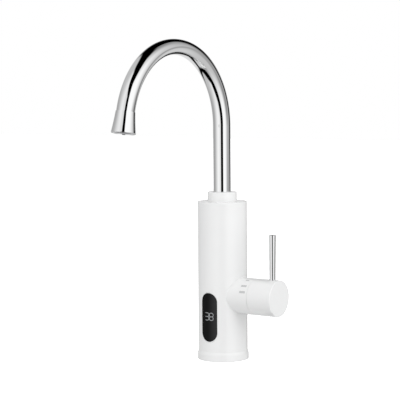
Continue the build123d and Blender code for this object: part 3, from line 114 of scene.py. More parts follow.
# %% A node tree that is written as calls
class Paint:
    """The node tree of one material or world."""

    def __init__(self, owner):
        owner.use_nodes = True
        self.name, self.tree = owner.name, owner.node_tree
        self.tree.nodes.clear()

    def node(self, kind, settings=None, inputs=None):
        """Makes a node, sets its settings first, then fills or links its inputs."""
        made = self.tree.nodes.new("ShaderNode" + kind)
        for name, value in (settings or {}).items():
            setattr(made, name, value)
        for name, value in (inputs or {}).items():
            if isinstance(value, Shade):
                self.tree.links.new(value.socket, made.inputs[name])
            else:
                made.inputs[name].default_value = value
        return Shade(self, made.outputs[0]) if made.outputs else made

    def maths(self, operation, *values):
        return self.node("Math", {"operation": operation}, dict(enumerate(values)))

    def ease(self, value, low, high):
        """0 below low, 1 above high, and a smooth step between."""
        settings = {"interpolation_type": "SMOOTHSTEP"}
        return self.node("MapRange", settings, {"Value": value, "From Min": low, "From Max": high})

    def mix(self, share, first, second):
        """A colour between two colours."""
        made = self.node("Mix", {"data_type": "RGBA"}, {0: share, 6: first, 7: second})
        return Shade(self, made.socket.node.outputs[2])

    def place(self, scale=(1, 1, 1)):
        """The point on the piece, in metres, stretched along the axes."""
        point = self.node("TexCoord")["Object"]
        return self.node("Mapping", None, {"Vector": point, "Scale": scale})

    def noise(self, place, size, detail=2.0, roughness=0.5):
        """Clouds of about this size in metres, from 0 to 1."""
        inputs = {"Vector": place, "Scale": 1 / size, "Detail": detail, "Roughness": roughness}
        return self.node("TexNoise", None, inputs)

    def bump(self, height, depth):
        """The normal of a surface that this height from 0 to 1 raises by a depth in metres."""
        return self.node("Bump", None, {"Height": height, "Distance": depth, "Strength": 1.0})


def rgb(red, green=None, blue=None):
    """A colour with its alpha, or a grey from one number."""
    return (red, red, red, 1.0) if green is None else (red, green, blue, 1.0)


# %% [markdown]
# ## The camera
# The photograph was taken from the right of the front and a little above, with a long lens. Its place
# and its focal length were found once, from the straight edges and ellipses of the tap, and are
# written here in metres. The gaze runs slightly down, and the picture leans by half a degree. The
# focal length was found in pixels of the photograph, which is 400 of them wide.

# %% Camera
eye = Vector((1.05055, -1.50095, 0.33613))
gaze = Vector((-0.58368, 0.80831, -0.07715))
lean = radians(-0.45)
focal_pixels, picture_pixels = 1511.16, 400
sensor = 36.0
camera_data = bpy.data.cameras.new("camera")
camera_data.sensor_width = sensor
camera_data.lens = sensor * focal_pixels / picture_pixels
camera_data.clip_start, camera_data.clip_end = 0.05, 50.0
camera = bpy.data.objects.new("camera", camera_data)
bpy.context.scene.collection.objects.link(camera)
turned = gaze.to_track_quat("-Z", "Y").to_matrix().to_4x4() @ Matrix.Rotation(lean, 4, "Z")
camera.matrix_world = Matrix.Translation(eye) @ turned
bpy.context.scene.camera = camera
bpy.context.scene.view_settings.view_transform = "Standard"
print("lens:", round(camera_data.lens, 1), "mm")

# %% [markdown]
# ## The studio
# Chrome has no look of its own: it shows the room. This room was read off the neck, whose bend looks
# in every direction: a soft box to the left, a brighter one to the right, and a dark slit between
# them that draws the black line down the neck. The ceiling is dark, the ground is pale on the right,
# and a grey board, a low band and a strip of lit ground lie behind the tap. All of it is one world
# shader that works on the direction of a ray: its azimuth runs from the front to the right, and with
# its elevation it is in degrees. The camera itself sees plain white.


# %% The direction of a ray
world = bpy.data.worlds.new("studio")
bpy.context.scene.world = world
sky = Paint(world)
axes = sky.node("SeparateXYZ", None, {0: sky.node("TexCoord")["Generated"]})
azimuth = sky.maths("ARCTAN2", axes["X"], -axes["Y"]) * degrees(1)
elevation = sky.maths("ARCSINE", axes["Z"]) * degrees(1)


def above(limit):
    """How far the ray's elevation lies over a limit, in degrees, never less than nothing."""
    return sky.maths("MAXIMUM", elevation - limit, 0.0)


def below(limit):
    return sky.maths("MAXIMUM", limit - elevation, 0.0)


def past(value, place, soft):
    """0 before a place, 1 past it, with a soft edge."""
    return sky.ease(value, place - soft, place + soft)


def short_of(value, place, soft):
    return 1 - past(value, place, soft)


# %% Left soft box
# An oval whose right side is cut by the slit; its light is strongest beside the slit. The slit's side
# leans away above and below, and the box's lower left corner is missing.
oval_turn, oval_rise, oval_half_width, oval_half_height = -44.0, 1.0, 77.0, 67.0
slit_left, slit_left_soft = 25.6, 3.2
across_oval = abs(azimuth - oval_turn) / oval_half_width
up_oval = abs(elevation - oval_rise) / oval_half_height
oval = across_oval ** 3.5 + up_oval ** 3.0
left_cut = azimuth + above(37.0) * 1.5 + below(12.0) * 0.3 + below(-36.0) * 0.65
left_notch = short_of(azimuth, -100.0, 3.0) * short_of(elevation, -28.0, 4.0)
left_box = short_of(oval, 1.0, 0.14) * short_of(left_cut, slit_left, slit_left_soft) * (1 - left_notch)
tilt = sky.ease(abs(elevation + 4.0), 8.0, 42.0)
lobe = (0.62 - 0.28 * tilt) * sky.ease(azimuth, -79.0, -6.0)
left_level = 0.41 + 0.17 * tilt + lobe - 0.12 * sky.ease(azimuth, -12.0, 10.0)

# %% Right soft box
# Its upper half fades away from the slit, its lower half lights the ground with a dip in the middle.
# Far to the right a soft shadow and a dark streak lie over it, which the riser's right edge mirrors.
slit_right, slit_right_soft = 44.8, 2.6
ceiling_edge, ceiling_soft = 68.0, 6.0
right_cut = azimuth - above(46.0) * 2.0 - 8.5 * sky.ease(elevation, -40.0, 10.0)
on_the_right = sky.maths("GREATER_THAN", azimuth, 0.0)
under_ceiling = short_of(elevation, ceiling_edge, ceiling_soft)
right_box = past(right_cut, slit_right, slit_right_soft) * under_ceiling * on_the_right
high = (1.10 - 0.72 * sky.ease(azimuth, 92.0, 170.0)) * (1 - 0.33 * sky.ease(elevation, 32.0, 63.0))
dip = 0.34 * (1 - sky.ease(abs(azimuth - 122.0), 0.0, 32.0)) * sky.ease(elevation, -34.0, -8.0)
close = 0.50 * (1 - sky.ease(azimuth, 78.0, 108.0)) * sky.ease(elevation, -80.0, -4.0)
far = 0.08 * sky.ease(azimuth, 135.0, 158.0) * sky.ease(elevation, -60.0, -38.0)
low = (0.60 + close - dip + far) * (0.56 + 0.44 * sky.ease(elevation, -88.0, -60.0))
right_level = low + (high - low) * past(elevation, 0.0, 8.5)
shade = 0.36 * sky.ease(azimuth, 128.0, 152.0) * (1 - sky.ease(abs(elevation + 4.0), 0.0, 15.0))
streak = past(azimuth - 0.70 * above(0.0), 148.0, 8.0) * sky.ease(elevation, -8.0, -1.0)

# %% Behind the tap
# Here the azimuth runs on past 180, so that nothing has a seam behind the tap.
wrapped = azimuth + 360.0 * sky.maths("LESS_THAN", azimuth, 0.0)
board_level, band_level, ground_level = 0.78, 0.5, 0.68
board_top = sky.ease(elevation - 0.5 * (wrapped - 225.0), 8.0, 32.0)
board_width = past(wrapped, 209.0, 4.0) * short_of(wrapped, 245.5, 5.0)
board = board_width * past(elevation, -46.0, 4.0) * (1 - board_top)
band_width = sky.ease(wrapped, 172.0, 186.0) * (1 - sky.ease(wrapped, 205.0, 212.0))
band = band_width * short_of(abs(elevation - 2.0), 11.0, 5.0)
lit_ground = short_of(elevation, -60.0, 4.0) * past(wrapped, 190.0, 15.0) * short_of(wrapped, 244.0, 8.0)
back = sky.maths("MAXIMUM", board * board_level, band * band_level)
back = sky.maths("MAXIMUM", back, lit_ground * ground_level)
right_light = right_box * (1 - streak) * (1 - shade) * right_level
front = sky.maths("MAXIMUM", left_box * left_level, right_light)
room = sky.maths("MAXIMUM", front, back)

# %% What each kind of ray sees
# A mirror sees the room, matt surfaces see it with a little fill, and the camera sees white.
rays = sky.node("LightPath")
fill = 0.245
seen = rays["Is Camera Ray"]
light = room + fill * rays["Is Diffuse Ray"]
strength = seen + (1 - seen) * light
backdrop = sky.node("Background", None, {"Color": rgb(1.0), "Strength": strength})
sky.node("OutputWorld", None, {"Surface": backdrop})
print("studio nodes:", len(sky.tree.nodes))

# %% [markdown]
# ## The floor and the key light
# The tap stands on a white floor without an edge. It is plain diffuse white, so that it keeps the
# soft shadow under the tap, and it glows for the camera alone, which takes it up to the white of
# the backdrop. One large lamp stands high on the right, and rounds the white body.

# %% Floor
floor_reach, floor_white, floor_glow = 6.0, 0.82, 0.78
floor_mesh = bmesh.new()
bmesh.ops.create_grid(floor_mesh, x_segments=4, y_segments=4, size=floor_reach)
floor_data = bpy.data.meshes.new("floor")
floor_mesh.to_mesh(floor_data)
floor_mesh.free()
floor = bpy.data.objects.new("floor", floor_data)
bpy.context.scene.collection.objects.link(floor)
floor.visible_glossy = False
floor.visible_diffuse = False
floor_finish = bpy.data.materials.new("floor_white")
floor_paint = Paint(floor_finish)
lit = floor_paint.node("BsdfDiffuse", None, {"Color": rgb(floor_white)})
glow = floor_glow * floor_paint.node("LightPath")["Is Camera Ray"]
glowing = floor_paint.node("Emission", None, {"Color": rgb(1.0), "Strength": glow})
both = floor_paint.node("AddShader", None, {0: lit, 1: glowing})
floor_paint.node("OutputMaterial", None, {"Surface": both})
floor_data.materials.append(floor_finish)
print("floor:", [round(side, 1) for side in floor.dimensions], "m")

# %% Key light
key_azimuth, key_elevation, key_distance = radians(57.0), radians(50.0), 1.6
key_size, key_power = 1.1, 9.0
key_target = Vector((0, 0, 0.15))
key_way = Vector((sin(key_azimuth), -cos(key_azimuth), 0)) * cos(key_elevation)
key_way.z = sin(key_elevation)
key_data = bpy.data.lights.new("key", "AREA")
key_data.shape, key_data.size, key_data.energy = "DISK", key_size, key_power
key = bpy.data.objects.new("key", key_data)
bpy.context.scene.collection.objects.link(key)
key_turn = key_way.to_track_quat("Z", "Y").to_matrix().to_4x4()
key.matrix_world = Matrix.Translation(key_target + key_way * key_distance) @ key_turn
key.visible_glossy = False
key.visible_camera = False
print("key light:", key_power, "W, from", [round(part, 2) for part in key.matrix_world.translation])

# %% [markdown]
# ## Finishes
# Each material slot of the record gets one finish. Nothing is a single flat colour: moulded plastic
# has a faint orange peel and a cloudiness of its pigment, plate has a haze where hands and water
# dried on it, bare metal has tool marks. All of it reads the piece's own place in metres, so a grain of half
# a millimetre stays that on every piece.


# %% The surface that all finishes share
def finish(name, **constants):
    """A material with a Principled surface, its constants set on its own sockets."""
    material = bpy.data.materials.new(name)
    paint = Paint(material)
    inputs = {key.replace("_", " ").title(): value for key, value in constants.items()}
    surface = paint.node("BsdfPrincipled", None, inputs)
    surface.socket.node.inputs["IOR"].default_value = 1.5
    paint.node("OutputMaterial", None, {"Surface": surface})
    return material, paint, surface.socket.node


def link(paint, surface, **shades):
    """Links what changes over the surface: base color, roughness, metallic, normal."""
    for name, shade in shades.items():
        paint.tree.links.new(shade.socket, surface.inputs[name.replace("_", " ").title()])
    print(paint.name, "nodes:", len(paint.tree.nodes), "varies:", ", ".join(shades))


# %% White gloss plastic
white_shell, paint, surface = finish("white_shell")
point = paint.place()
cloud_size, peel_size, peel_depth, scuff_size = 0.03, 0.0016, 0.000004, 0.006
cloud = paint.noise(point, cloud_size, 3.0)
peel = paint.noise(point, peel_size, 2.0)
scuff = paint.ease(paint.noise(paint.place((1, 1, 3)), scuff_size, 4.0, 0.7), 0.58, 0.75)
white_low, white_high = rgb(0.845, 0.848, 0.848), rgb(0.875, 0.878, 0.878)
link(
    paint, surface,
    base_color=paint.mix(cloud, white_low, white_high),
    roughness=0.13 + 0.05 * cloud + 0.04 * scuff,
    normal=paint.bump(peel, peel_depth),
)

# %% Chrome plate
chrome_tube, paint, surface = finish("chrome_tube", metallic=1.0)
point = paint.place()
haze_size, haze_depth, drop_size = 0.02, 0.0000015, 0.004
haze = paint.noise(point, haze_size, 2.0)
dried = paint.ease(paint.noise(point, drop_size, 3.0), 0.62, 0.8)
link(
    paint, surface,
    base_color=paint.mix(haze, rgb(0.87, 0.874, 0.878), rgb(0.90, 0.903, 0.907)),
    roughness=0.006 + 0.012 * haze + 0.010 * dried,
    normal=paint.bump(haze, haze_depth),
)

# %% Polished rod
# Its polishing lines run along it, so the grain is stretched upwards.
rod_chrome, paint, surface = finish("rod_chrome", metallic=1.0)
line_size, line_depth, lengthwise = 0.0004, 0.000006, (1, 1, 0.02)
grain = paint.noise(paint.place(lengthwise), line_size, 2.0)
haze = paint.noise(paint.place(), 0.01, 3.0)
link(
    paint, surface,
    base_color=paint.mix(haze, rgb(0.78, 0.785, 0.79), rgb(0.84, 0.845, 0.85)),
    roughness=0.03 + 0.03 * grain + 0.02 * haze,
    normal=paint.bump(grain, line_depth),
)


# %% [markdown]
# The finishes of the hidden pieces, inside the tap and under it, follow two simple recipes: metal with
# the marks of its making, and moulded or cast stuff with a fine grain, be it nylon, rubber or ceramic.

# %% Plain finishes
tool_mark_depth, grain_depth = 0.00001, 0.00002


def metal(name, dark, pale, rough, grain_size, stretch=(1, 1, 1)):
    """Bare metal: its tint clouds over, and tool marks run along one way."""
    material, paint, surface = finish(name, metallic=1.0)
    cloud = paint.noise(paint.place(), 0.008, 4.0, 0.6)
    marks = paint.noise(paint.place(stretch), grain_size, 3.0)
    link(
        paint, surface,
        base_color=paint.mix(cloud, rgb(*dark), rgb(*pale)),
        roughness=rough + 0.12 * marks + 0.08 * cloud,
        normal=paint.bump(marks, tool_mark_depth),
    )
    return material


def moulded(name, dark, pale, rough, grain_size, speck=0.0):
    """Moulded or cast stuff: a cloudy pigment and a fine even grain."""
    material, paint, surface = finish(name)
    cloud = paint.noise(paint.place(), 0.01, 3.0)
    grain = paint.noise(paint.place(), grain_size, 3.0, 0.6)
    share = cloud if not speck else cloud * (1 - speck) + speck * grain
    link(
        paint, surface,
        base_color=paint.mix(share, rgb(*dark), rgb(*pale)),
        roughness=rough + 0.1 * grain,
        normal=paint.bump(grain, grain_depth),
    )
    return material


finishes = {
    "white_shell": white_shell,
    "chrome_tube": chrome_tube,
    "rod_chrome": rod_chrome,
    "brass_fittings": metal("brass_fittings", (0.60, 0.44, 0.20), (0.75, 0.58, 0.30), 0.22, 0.0006),
    "steel_vessel": metal("steel_vessel", (0.52, 0.52, 0.52), (0.64, 0.64, 0.63), 0.24, 0.0005, (1, 1, 0.05)),
    "steel_small": metal("steel_small", (0.50, 0.50, 0.51), (0.63, 0.63, 0.64), 0.25, 0.0005),
    "element_sheath": metal("element_sheath", (0.30, 0.27, 0.25), (0.50, 0.48, 0.46), 0.35, 0.0008),
    "black_rubber": moulded("black_rubber", (0.018, 0.018, 0.019), (0.035, 0.035, 0.036), 0.62, 0.0005),
    "grey_nylon": moulded("grey_nylon", (0.58, 0.59, 0.60), (0.68, 0.69, 0.70), 0.38, 0.0006),
    "black_plastic": moulded("black_plastic", (0.022, 0.022, 0.024), (0.045, 0.045, 0.048), 0.42, 0.0005),
    "green_board": moulded("green_board", (0.02, 0.13, 0.05), (0.05, 0.24, 0.10), 0.28, 0.0009, speck=0.4),
    "white_ceramic": moulded("white_ceramic", (0.78, 0.77, 0.73), (0.86, 0.85, 0.82), 0.30, 0.0004),
    "led_module": moulded("led_module", (0.66, 0.66, 0.65), (0.74, 0.74, 0.73), 0.45, 0.0005),
    "cable_cover": moulded("cable_cover", (0.25, 0.03, 0.025), (0.38, 0.06, 0.05), 0.5, 0.0006),
}

# %% Dark window
# A smoked window: nearly black on the side away from the light, with a painted grey sheen on the lit side,
# which is painted light.
lens_black, paint, surface = finish("lens_black")
window_shine, smear_size, smear_depth = 0.13, 0.006, 0.000003
surface.inputs["Specular IOR Level"].default_value = window_shine
smear = paint.noise(paint.place((1, 1, 0.5)), smear_size, 4.0, 0.6)
across = paint.node("SeparateXYZ", None, {0: paint.place()})["X"]
# Painted light: the base colour turns from black to grey across the pane, towards the lamp on the right.
painted_lit_side = paint.ease(across, -0.003, 0.013)
window_dark, window_painted_light_grey = rgb(0.0012, 0.0012, 0.0014), rgb(0.030, 0.030, 0.031)
link(
    paint, surface,
    base_color=paint.mix(painted_lit_side * (0.85 + 0.3 * smear), window_dark, window_painted_light_grey),
    roughness=0.10 + 0.08 * smear,
    normal=paint.bump(smear, smear_depth),
)
finishes["lens_black"] = lens_black

# %% Lit figures
# The figures glow a little by themselves, and not quite evenly.
figure_glow = 0.17
lit_figures, paint, surface = finish("lit_figures", emission_strength=figure_glow)
glare = paint.noise(paint.place(), 0.0012, 2.0)
link(
    paint, surface,
    base_color=paint.mix(glare, rgb(0.20, 0.21, 0.22), rgb(0.28, 0.29, 0.30)),
    emission_color=paint.mix(glare, rgb(0.80, 0.84, 0.88), rgb(1.0, 1.0, 1.0)),
    roughness=0.3 + 0.1 * glare,
)
finishes["lit_figures"] = lit_figures

# %% A finish for each solid
for node, piece in nodes.items():
    piece.data.materials.clear()
    piece.data.materials.append(finishes[slot_of_node[node]])
print("finishes:", len(finishes))

# %% [markdown]
# ## Skins made again
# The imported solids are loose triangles, which is right for checks and wrong for gloss: each facet
# would show. The white mouldings keep their shape, so each gets a merged copy whose corners are
# given the true direction of the cylinder that they lie on.


# %% Helpers for pieces
def shown(name, mesh, node, stands_for=()):
    """Makes an object of a bmesh, with the finish, the slot and the body of a CAD node."""
    data = bpy.data.meshes.new(name)
    mesh.to_mesh(data)
    mesh.free()
    data.materials.append(finishes[slot_of_node[node]])
    data.polygons.foreach_set("use_smooth", [True] * len(data.polygons))
    piece = bpy.data.objects.new(name, data)
    bpy.context.scene.collection.objects.link(piece)
    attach(piece, body_of_node[node])
    if stands_for:
        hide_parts(*stands_for)
    print(name, "faces:", len(data.polygons))
    return piece


def merged(node):
    """The CAD node's triangles, joined to one skin."""
    mesh = bmesh.new()
    mesh.from_mesh(nodes[node].data)
    bmesh.ops.remove_doubles(mesh, verts=mesh.verts, dist=NEAR)
    bmesh.ops.dissolve_degenerate(mesh, edges=mesh.edges, dist=SAME)
    return mesh


soft_fold, flat_face, on_cylinder = radians(32), 0.99995, 0.03 * MM


def true_gloss(piece, cylinders):
    """Gives flat faces one direction and faces on a cylinder the direction away from its line."""
    data = piece.data
    data.set_sharp_from_angle(angle=soft_fold)
    directions = [Vector(corner.vector) for corner in data.corner_normals]
    told = 0
    for face in data.polygons:
        if max(abs(part) for part in face.normal) > flat_face:
            for loop in face.loop_indices:
                directions[loop] = face.normal.copy()
            continue
        for centre, way, radius in cylinders:
            outward = []
            for corner in face.vertices:
                arm = data.vertices[corner].co - centre
                outward.append(arm - way * arm.dot(way))
            if all(abs(arm.length - radius) < on_cylinder for arm in outward):
                side = 1.0 if outward[0].dot(face.normal) > 0 else -1.0
                for loop, arm in zip(face.loop_indices, outward):
                    directions[loop] = arm.normalized() * side
                    told += 1
                break
    data.normals_split_custom_set(directions)
    print(piece.name, "corners on cylinders:", told, "of", len(directions))


# %% White mouldings
MOULDINGS = ("housing_shell", "handle_sleeve", "base_ring", "spout_collar", "display_bezel")
up, along = Vector((0, 0, 1)), Vector((1, 0, 0))
body_line = Vector((0, 0, 0))
shell_wall = 2.5 * MM
sleeve_low, sleeve_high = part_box("handle_sleeve")
barrel_line = Vector((0, 0, (sleeve_low.z + sleeve_high.z) / 2))
barrel_radius = (sleeve_high.z - sleeve_low.z) / 2
shell_radius = {node: -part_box(node)[0].y for node in MOULDINGS if node != "handle_sleeve"}
shell_bore = shell_radius["housing_shell"] - shell_wall
for node in MOULDINGS:
    cylinders = [(barrel_line, along, barrel_radius)] if node in ("handle_sleeve", "housing_shell") else []
    if node in shell_radius:
        cylinders.append((body_line, up, shell_radius[node]))
    if node == "housing_shell":
        cylinders.append((body_line, up, shell_bore))
    skin = shown(node + "_skin", merged(node), node, [node])
    true_gloss(skin, cylinders)

# %% [markdown]
# ## The swan neck
# The neck is one drawn tube, bent on a mandrel, which squeezes its section at the crown and spreads it
# sideways a little. Here a circle of edges is extruded from ring to ring along the line of the bend.
# Each step is a matrix, so the same few lines draw the straight riser and the arc, and the squeeze is
# a scale inside that matrix.

# %% Neck
tube_radius, tube_wall = 10.6 * MM, 0.9 * MM
tube_foot, bend_start, bend_radius, bend_turn = 187.0 * MM, 284.0 * MM, 94.2 * MM, radians(169.5)
squeeze, spread = 1.45 * MM, 0.6
neck_sides, riser_steps, bend_steps = 128, 12, 160
sharp_fold = radians(40)


def carried(mesh, edges, move):
    """Extrudes the edges, moves the new ones by a matrix and hands them back."""
    grown = bmesh.ops.extrude_edge_only(mesh, edges=edges)["geom"]
    corners = [part for part in grown if isinstance(part, bmesh.types.BMVert)]
    bmesh.ops.transform(mesh, matrix=move, verts=corners)
    sides = [part for part in grown if isinstance(part, bmesh.types.BMEdge)]
    return [edge for edge in sides if set(edge.verts) <= set(corners)]


def section(turn, height=0.0):
    """The matrix that carries a unit circle to the neck, at a turn of the bend or a height below it."""
    middle = Vector((0, bend_radius * (cos(turn) - 1), bend_start + bend_radius * sin(turn) - height))
    flat = squeeze * sin(pi * turn / bend_turn)
    across, inward = tube_radius + spread * flat, tube_radius - flat
    matrix = Matrix.Identity(4)
    matrix.col[0] = Vector((across, 0, 0, 0))
    matrix.col[1] = Vector((0, cos(turn) * inward, sin(turn) * inward, 0))
    matrix.col[2] = Vector((0, -sin(turn), cos(turn), 0))
    matrix.translation = middle
    return matrix


riser = bend_start - tube_foot
sections = [section(0.0, riser * (1 - step / riser_steps)) for step in range(riser_steps)]
sections += [section(bend_turn * step / bend_steps) for step in range(bend_steps + 1)]
neck = bmesh.new()
bmesh.ops.create_circle(neck, segments=neck_sides, radius=1.0, matrix=sections[0])
ring = neck.edges[:]
for here, there in zip(sections, sections[1:]):
    ring = carried(neck, ring, there @ here.inverted())
bmesh.ops.recalc_face_normals(neck, faces=neck.faces)
lowest = next(iter(neck.faces))
lowest_middle = lowest.calc_center_median()
if (lowest_middle - lowest_middle.project(up)).dot(lowest.normal) < 0:
    bmesh.ops.reverse_faces(neck, faces=neck.faces)
bmesh.ops.solidify(neck, geom=neck.faces[:], thickness=tube_wall)
neck_piece = shown("neck", neck, "spout_tube", ["spout_tube"])
neck_piece.data.set_sharp_from_angle(angle=sharp_fold)
print("neck:", [round(value / MM, 2) for value in neck_piece.dimensions], "mm")

# %% [markdown]
# ## The temperature window
# The window is one smoked pane, bent like the housing, and two lit figures show through it. In the
# solids the figures are plain strokes let into the pane. Here the pane is whole, and the figures get
# the round corners of the real display and lie on it as a thin film. A stroke is drawn like the neck:
# a short edge, as long as the stroke is wide, is carried along straight legs and round corners. The
# legs have many short steps, because a long straight face would sink into the bent pane. Pane and
# figures are drawn flat and then bent to the housing.


# %% Bend a flat shape to the housing
def bent(mesh, radius, middle_height):
    """Lays a flat shape, drawn across x and up y, on the front of an upright cylinder."""
    for corner in mesh.verts:
        across, height, lift = corner.co
        forward = ((radius + lift) ** 2 - across ** 2) ** 0.5
        corner.co = Vector((across, -forward, height + middle_height))
    mesh.normal_update()


# %% Pane
pane_low, pane_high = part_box("display_lens")
pane_front, pane_depth, pane_half_width = -pane_low.y, 1.8 * MM, pane_high.x
pane_straight = (pane_high.z - pane_low.z) / 2 - pane_half_width
pane_sides, pane_strips = 96, 24
pane = bmesh.new()
bmesh.ops.create_circle(pane, cap_ends=True, segments=pane_sides, radius=pane_half_width)
for way in (1, -1):
    bow = [corner for corner in pane.verts if corner.co.y * way > NEAR]
    bmesh.ops.translate(pane, vec=(0, way * pane_straight, 0), verts=bow)
for cut in range(1, pane_strips):
    place = (pane_half_width * (2 * cut / pane_strips - 1), 0, 0)
    everything = pane.verts[:] + pane.edges[:] + pane.faces[:]
    bmesh.ops.bisect_plane(pane, geom=everything, dist=SAME, plane_co=place, plane_no=(1, 0, 0))
bent(pane, pane_front, (pane_low.z + pane_high.z) / 2)
bmesh.ops.solidify(pane, geom=pane.faces[:], thickness=pane_depth)
pane_piece = shown("window_pane", pane, "display_lens", ["display_lens"])
true_gloss(pane_piece, [(body_line, up, pane_front)])

# %% Figures
figure_width, figure_height, figure_gap, figure_stroke = 5.75 * MM, 9.4 * MM, 0.25 * MM, 0.64 * MM
figure_round, figure_lift, figure_middle, figure_shift = 1.7 * MM, 0.03 * MM, 55.0 * MM, 0.5 * MM
half_step = 0.01 * MM  # the lower half lies this much deeper, so that no two faces share a plane
line_width, line_half = figure_width - figure_stroke, (figure_height - figure_stroke) / 2
leg_up, leg_steps, corner_steps = line_half - 2 * figure_round, 10, 6
quarter = Matrix.Rotation(pi / 2 / corner_steps, 4, "Z")
corner_step = Matrix.Translation((0, figure_round, 0)) @ quarter @ Matrix.Translation((0, -figure_round, 0))


def half_figure(mesh, middle, side, closed):
    """Draws the upper (side 1) or lower (side -1) half of an 8, or of a 3 that stays open on the left."""
    if closed:
        start, first = middle, line_width / 2 - figure_round
        legs = [first, leg_up, line_width - 2 * figure_round, leg_up, first]
    else:
        start, first = middle - line_width / 2, line_width - figure_round
        legs = [first, leg_up, first]
    here = Matrix.Translation((start, 0, min(side, 0) * half_step)) @ Matrix.Diagonal((1, side, 1, 1))
    ends = [mesh.verts.new(here @ Vector((0, way * figure_stroke / 2, 0))) for way in (-1, 1)]
    tip = [mesh.edges.new(ends)]
    for order, leg in enumerate(legs):
        moves = [Matrix.Translation((leg / leg_steps, 0, 0))] * leg_steps
        moves += [corner_step] * (corner_steps if order < len(legs) - 1 else 0)
        for move in moves:
            tip = carried(mesh, tip, here @ move @ here.inverted())
            here = here @ move


figures = bmesh.new()
figure_step = (figure_width + figure_gap) / 2
for side in (1, -1):
    half_figure(figures, figure_shift - figure_step, side, closed=False)
    half_figure(figures, figure_shift + figure_step, side, closed=True)
bmesh.ops.remove_doubles(figures, verts=figures.verts, dist=SAME)
figures.normal_update()
bmesh.ops.reverse_faces(figures, faces=[face for face in figures.faces if face.normal.z < 0])
bent(figures, pane_front + figure_lift, figure_middle)
bmesh.ops.solidify(figures, geom=figures.faces[:], thickness=2 * figure_lift)
figure_piece = shown("lit_figures", figures, "display_digits", ["display_digits"])
figure_piece.data.set_sharp_from_angle(angle=sharp_fold)

# %% [markdown]
# ## Turned pieces
# The nozzle and the lever rod are turned on a lathe. A closed outline of radius and distance is spun
# about the piece's own line, which is how the lathe sees it too. Sharp rims are then rounded by bevel.


# %% Lathe
rim_steps, sharp_rim = 6, radians(30)


def on_rim(corner, radius, distance):
    """Whether a corner lies on the circle of this radius, at this distance along the line."""
    return abs(corner.co.xy.length - radius) < NEAR and abs(corner.co.z - distance) < NEAR


def turned_piece(name, outline, node, matrix, rim, sides=128):
    """Spins an outline of (radius, distance), and rounds one rim, (radius, distance, rounding)."""
    mesh = bmesh.new()
    corners = [mesh.verts.new((radius, 0, distance)) for radius, distance in outline]
    for near, far in zip(corners, corners[1:] + corners[:1]):
        mesh.edges.new((near, far))
    profile = mesh.verts[:] + mesh.edges[:]
    bmesh.ops.spin(
        mesh, geom=profile, cent=(0, 0, 0), axis=(0, 0, 1), angle=2 * pi, steps=sides, use_merge=True
    )
    bmesh.ops.remove_doubles(mesh, verts=mesh.verts, dist=SAME)
    bmesh.ops.dissolve_degenerate(mesh, edges=mesh.edges, dist=SAME)
    radius, distance, rounding = rim
    edges = [edge for edge in mesh.edges if all(on_rim(end, radius, distance) for end in edge.verts)]
    bmesh.ops.bevel(
        mesh, geom=edges, offset=rounding, segments=rim_steps, profile=0.5, affect="EDGES", material=-1
    )
    bmesh.ops.recalc_face_normals(mesh, faces=mesh.faces)
    bmesh.ops.transform(mesh, matrix=matrix, verts=mesh.verts)
    piece = shown(name, mesh, node, [node])
    piece.data.set_sharp_from_angle(angle=sharp_rim)


# %% Nozzle's line and sizes
# The nozzle sits on the end of the neck. Its flare is an arc through three points, given as radius and
# distance in millimetres.
outlet = section(bend_turn)
outlet_line = Matrix.Identity(4)
for axis in range(3):
    outlet_line.col[axis] = outlet.col[axis].normalized()
outlet_line.translation = outlet.translation
flare = [(11.15, 0.0), (13.1, 17.4), (14.15, 24.5)]
flare_steps = 28
nozzle_lead = 3.9 * MM  # how far the nozzle reaches back over the tube
nozzle_end = flare[-1][1] * MM - nozzle_lead
nozzle_bore, recess_radius, recess = 10.75 * MM, 12.35 * MM, 2.5 * MM
mouth_radius, mouth_round = 13.2 * MM, 0.88 * MM


# %% Nozzle
def circle_through(first, middle, last):
    """The centre of the circle through three points."""
    (ax, ay), (bx, by), (cx, cy) = first, middle, last
    twice = 2 * (ax * (by - cy) + bx * (cy - ay) + cx * (ay - by))
    a_square, b_square, c_square = ax * ax + ay * ay, bx * bx + by * by, cx * cx + cy * cy
    x = (a_square * (by - cy) + b_square * (cy - ay) + c_square * (ay - by)) / twice
    y = (a_square * (cx - bx) + b_square * (ax - cx) + c_square * (bx - ax)) / twice
    return x, y


centre_x, centre_y = circle_through(*flare)
reach = hypot(flare[0][0] - centre_x, flare[0][1] - centre_y)
angles = [atan2(y - centre_y, x - centre_x) for x, y in (flare[0], flare[-1])]
if abs(angles[1] - angles[0]) > pi:
    angles[1] += 2 * pi if angles[1] < angles[0] else -2 * pi
trumpet = []
for step in range(flare_steps + 1):
    angle = angles[0] + (angles[1] - angles[0]) * step / flare_steps
    radius, distance = centre_x + reach * cos(angle), centre_y + reach * sin(angle)
    trumpet.append((radius * MM, distance * MM - nozzle_lead))
mouth = [(mouth_radius, nozzle_end), (recess_radius, nozzle_end - recess)]
bore = [(nozzle_bore, nozzle_end - recess), (nozzle_bore, -nozzle_lead)]
nozzle_rim = (flare[-1][0] * MM, nozzle_end, mouth_round)
turned_piece("nozzle", trumpet + mouth + bore, "spout_nozzle", outlet_line, nozzle_rim)

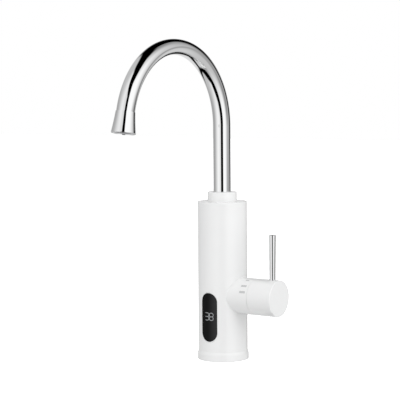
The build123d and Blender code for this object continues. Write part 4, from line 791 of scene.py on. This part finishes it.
# %% Lever rod
# The rod widens a little from its foot in the sleeve to its rounded tip.
rod_low, rod_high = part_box("handle_rod")
rod_middle = (rod_low + rod_high) / 2
rod_foot, rod_tip, rod_seat, rod_round, rod_sides = 3.7 * MM, 4.2 * MM, 100.7 * MM, 0.8 * MM, 96
rod_length = rod_high.z - rod_seat
rod_outline = [(0, 0), (rod_foot, 0), (rod_tip, rod_length), (0, rod_length)]
rod_line = Matrix.Translation((rod_middle.x, rod_middle.y, rod_seat))
rod_rim = (rod_tip, rod_length, rod_round)
turned_piece("lever_rod", rod_outline, "handle_rod", rod_line, rod_rim, rod_sides)

# %% [markdown]
# ## Printed marks
# Three grey marks are printed on the fixed half of the barrel, where the lever's positions are. They
# are plain strokes here, a few hundredths of a millimetre thick, bent round the barrel. Each mark has
# its turn from the top of the barrel to the front, in degrees, and its number of strokes.

# %% Marks
mark_rows = [(23.0, 3), (49.0, 5), (70.0, 5)]
mark_place, mark_lift = 42.5 * MM, 0.03 * MM
mark_grey = moulded("mark_grey", (0.36, 0.36, 0.37), (0.44, 0.44, 0.45), 0.4, 0.0004)
stroke_width, stroke_height, stroke_step = 1.0 * MM, 2.6 * MM, 1.55 * MM
lift = barrel_radius + mark_lift
for order, (turn, strokes) in enumerate(mark_rows):
    mark = bmesh.new()
    for stroke in range(strokes):
        place = Matrix.Translation(((stroke - (strokes - 1) / 2) * stroke_step, 0, 0))
        size = Matrix.Diagonal((stroke_width / 2, stroke_height / 2, 1, 1))
        bmesh.ops.create_grid(mark, x_segments=2, y_segments=6, size=1.0, matrix=place @ size)
    for corner in mark.verts:
        angle = radians(turn) - corner.co.y / barrel_radius
        corner.co = Vector((mark_place + corner.co.x, -sin(angle) * lift, barrel_line.z + cos(angle) * lift))
    bmesh.ops.recalc_face_normals(mark, faces=mark.faces)
    bmesh.ops.solidify(mark, geom=mark.faces[:], thickness=mark_lift)
    piece = shown(f"printed_mark_{order}", mark, "housing_shell")
    piece.data.materials[0] = mark_grey
